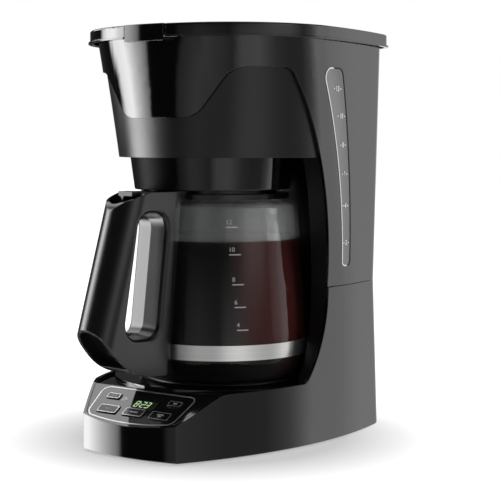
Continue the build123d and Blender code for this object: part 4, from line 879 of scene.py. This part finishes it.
# Room in polished faces, by compass angle from the front towards the right, with its brightness
# at the horizon and above it: a bright box at the left, a dark gap, the dim front, a bright strip
# at the right and the white sweep behind.
ROOM = (
    (-88.0, 0.02, 0.02),
    (-80.0, 6.0, 6.0),
    (-68.0, 9.4, 9.4),
    (-44.0, 1.9, 1.9),
    (-43.0, 0.02, 0.02),
    (-16.0, 0.02, 0.02),
    (-13.0, 0.25, 0.03),
    (5.0, 0.55, 0.03),
    (33.0, 0.27, 0.03),
    (43.0, 0.85, 0.05),
    (60.0, 0.95, 0.3),
    (80.0, 0.4, 1.3),
    (94.0, 0.27, 1.3),
    (110.0, 0.27, 0.27),
    (120.0, 0.6, 0.6),
    (130.0, 1.5, 1.5),
    (142.0, 1.2, 1.2),
    (156.0, 1.1, 1.1),
    (168.0, 0.75, 0.75),
    (182.0, 0.45, 0.45),
    (205.0, 0.8, 0.8),
    (214.0, 1.0, 1.0),
    (218.0, 0.05, 0.05),
    (269.0, 0.02, 0.02),
)
BRIGHTEST = 16.0
FRONT_OF_COMPASS = 0.25
BEHIND = (-0.588, 0.809, 0.0)
HORIZON = (0.03, 0.12)
WALL_TOP = (0.45, 0.6)
CEILING = (0.8, 0.95)
COLOUR_A, COLOUR_B, COLOUR_MIXED = 6, 7, 2


def backdrop(tree, strength=1.0):
    """White background of one strength."""
    node = tree.nodes.new("ShaderNodeBackground")
    node.inputs["Color"].default_value = (1, 1, 1, 1)
    node.inputs["Strength"].default_value = strength
    return node


world = bpy.data.worlds.new("studio")
bpy.context.scene.world = world
world.use_nodes = True
tree = world.node_tree
tree.nodes.clear()
out = tree.nodes.new("ShaderNodeOutputWorld")
room = backdrop(tree, 0.3)
sweep = backdrop(tree)
shine = backdrop(tree)
path = tree.nodes.new("ShaderNodeLightPath")
place = tree.nodes.new("ShaderNodeTexCoord")
parts = tree.nodes.new("ShaderNodeSeparateXYZ")
rearward = tree.nodes.new("ShaderNodeVectorMath")
rearward.operation = "DOT_PRODUCT"
rearward.inputs[1].default_value = BEHIND
behind = spread(tree, high=0.3)
through = maths(tree, "MULTIPLY")
seen = maths(tree, "MAXIMUM")
bent = maths(tree, "MAXIMUM")
compass = tree.nodes.new("ShaderNodeTexGradient")
compass.gradient_type = "RADIAL"
rings = []
for ring in (0, 1):
    round_about = tree.nodes.new("ShaderNodeValToRGB")
    stops = round_about.color_ramp.elements
    while len(stops) < len(ROOM):
        stops.new(0.5)
    for stop, (angle, *levels) in zip(stops, ROOM):
        stop.position = angle / 360 + FRONT_OF_COMPASS
        grey = levels[ring] / BRIGHTEST
        stop.color = (grey, grey, grey, 1)
    join(tree, (compass.outputs["Fac"], round_about.inputs["Fac"]))
    rings.append(round_about)
upper = spread(tree, *HORIZON)
upper.interpolation_type = "SMOOTHSTEP"
ring_mix = tree.nodes.new("ShaderNodeMix")
ring_mix.data_type = "RGBA"
strong = maths(tree, "MULTIPLY", BRIGHTEST)
below = spread(tree, *WALL_TOP, to_low=1.0, to_high=0.02)
below.interpolation_type = "SMOOTHSTEP"
limit = maths(tree, "MULTIPLY")
ceiling = spread(tree, *CEILING, to_high=0.5)
total = maths(tree, "ADD")
mirrored = tree.nodes.new("ShaderNodeMixShader")
pick = tree.nodes.new("ShaderNodeMixShader")
join(
    tree,
    (place.outputs["Generated"], rearward.inputs[0]),
    (place.outputs["Generated"], compass.inputs["Vector"]),
    (place.outputs["Generated"], parts.inputs[0]),
    (rearward.outputs["Value"], behind.inputs["Value"]),
    (path.outputs["Is Transmission Ray"], through.inputs[0]),
    (behind.outputs["Result"], through.inputs[1]),
    (path.outputs["Is Camera Ray"], seen.inputs[0]),
    (through.outputs[0], seen.inputs[1]),
    (path.outputs["Is Glossy Ray"], bent.inputs[0]),
    (path.outputs["Is Transmission Ray"], bent.inputs[1]),
    (parts.outputs["Z"], upper.inputs["Value"]),
    (upper.outputs["Result"], ring_mix.inputs[0]),
    (rings[0].outputs["Color"], ring_mix.inputs[COLOUR_A]),
    (rings[1].outputs["Color"], ring_mix.inputs[COLOUR_B]),
    (ring_mix.outputs[COLOUR_MIXED], strong.inputs[0]),
    (parts.outputs["Z"], below.inputs["Value"]),
    (strong.outputs[0], limit.inputs[0]),
    (below.outputs["Result"], limit.inputs[1]),
    (parts.outputs["Z"], ceiling.inputs["Value"]),
    (limit.outputs[0], total.inputs[0]),
    (ceiling.outputs["Result"], total.inputs[1]),
    (total.outputs[0], shine.inputs["Strength"]),
    (bent.outputs[0], mirrored.inputs["Fac"]),
    (room.outputs[0], mirrored.inputs[1]),
    (shine.outputs[0], mirrored.inputs[2]),
    (seen.outputs[0], pick.inputs["Fac"]),
    (mirrored.outputs[0], pick.inputs[1]),
    (sweep.outputs[0], pick.inputs[2]),
    (pick.outputs[0], out.inputs["Surface"]),
)

# Lamps: three soft boxes, a large one at the left, one high at the left that also shows in
# polished faces, and the strongest behind the object at the right.


def soft_box(name, middle, aim, width, tall, light, shine=0.0):
    """Soft box: a lamp for its light and, with a shine, a cloth front that shows in polished faces."""
    turn = (Vector(aim) - Vector(middle)).to_track_quat("-Z", "Y").to_euler()
    lamp = bpy.data.lights.new(name, "AREA")
    lamp.shape = "RECTANGLE"
    lamp.size = width
    lamp.size_y = tall
    lamp.energy = light * math.pi * width * tall
    box = bpy.data.objects.new(name, lamp)
    bpy.context.scene.collection.objects.link(box)
    box.location = middle
    box.rotation_euler = turn
    box.visible_glossy = False
    if not shine:
        return
    bpy.ops.mesh.primitive_plane_add(size=1)
    cloth = bpy.context.object
    cloth.name = f"{name}_cloth"
    cloth.scale = (width, tall, 1)
    cloth.location = middle
    cloth.rotation_euler = turn
    paint, tree, _ = bare_finish(cloth.name)
    tree.nodes.clear()
    out = tree.nodes.new("ShaderNodeOutputMaterial")
    glow = tree.nodes.new("ShaderNodeEmission")
    glow.inputs["Strength"].default_value = shine
    clear = tree.nodes.new("ShaderNodeBsdfTransparent")
    path = tree.nodes.new("ShaderNodeLightPath")
    pick = tree.nodes.new("ShaderNodeMixShader")
    join(
        tree,
        (path.outputs["Is Glossy Ray"], pick.inputs["Fac"]),
        (clear.outputs[0], pick.inputs[1]),
        (glow.outputs[0], pick.inputs[2]),
        (pick.outputs[0], out.inputs["Surface"]),
    )
    cloth.data.materials.append(paint)
    cloth.visible_shadow = False
    cloth.visible_diffuse = False


soft_box("left_box", (-1.5, -0.63, 0.6), aim=(0, -0.1, 0.2), width=1.4, tall=1.2, light=1.6)
soft_box(
    "top_box", (-1.223, 0.115, 0.951), aim=(0, -0.0985, 0.0388), width=0.7, tall=1.0, light=1.5, shine=2.5
)
soft_box("right_box", (1.4, 1.2, 0.6), aim=(0, 0, 0.17), width=1.6, tall=1.4, light=3.2)

# Camera: a long lens at the right of the front, a little higher than the brew head's lower edge
# and tilted slightly down.
CAMERA_PLACE = (0.7314, -0.9611, 0.2532)
CAMERA_PITCH = math.radians(85.571)
CAMERA_TURN = math.radians(35.761)
LENS = 102.08
lens = bpy.data.cameras.new("camera")
lens.sensor_width = 36.0
lens.lens = LENS
lens.clip_end = 20
camera = bpy.data.objects.new("camera", lens)
bpy.context.scene.collection.objects.link(camera)
camera.location = CAMERA_PLACE
camera.rotation_euler = (CAMERA_PITCH, 0, CAMERA_TURN)
bpy.context.scene.camera = camera
bpy.context.scene.view_settings.view_transform = "Standard"
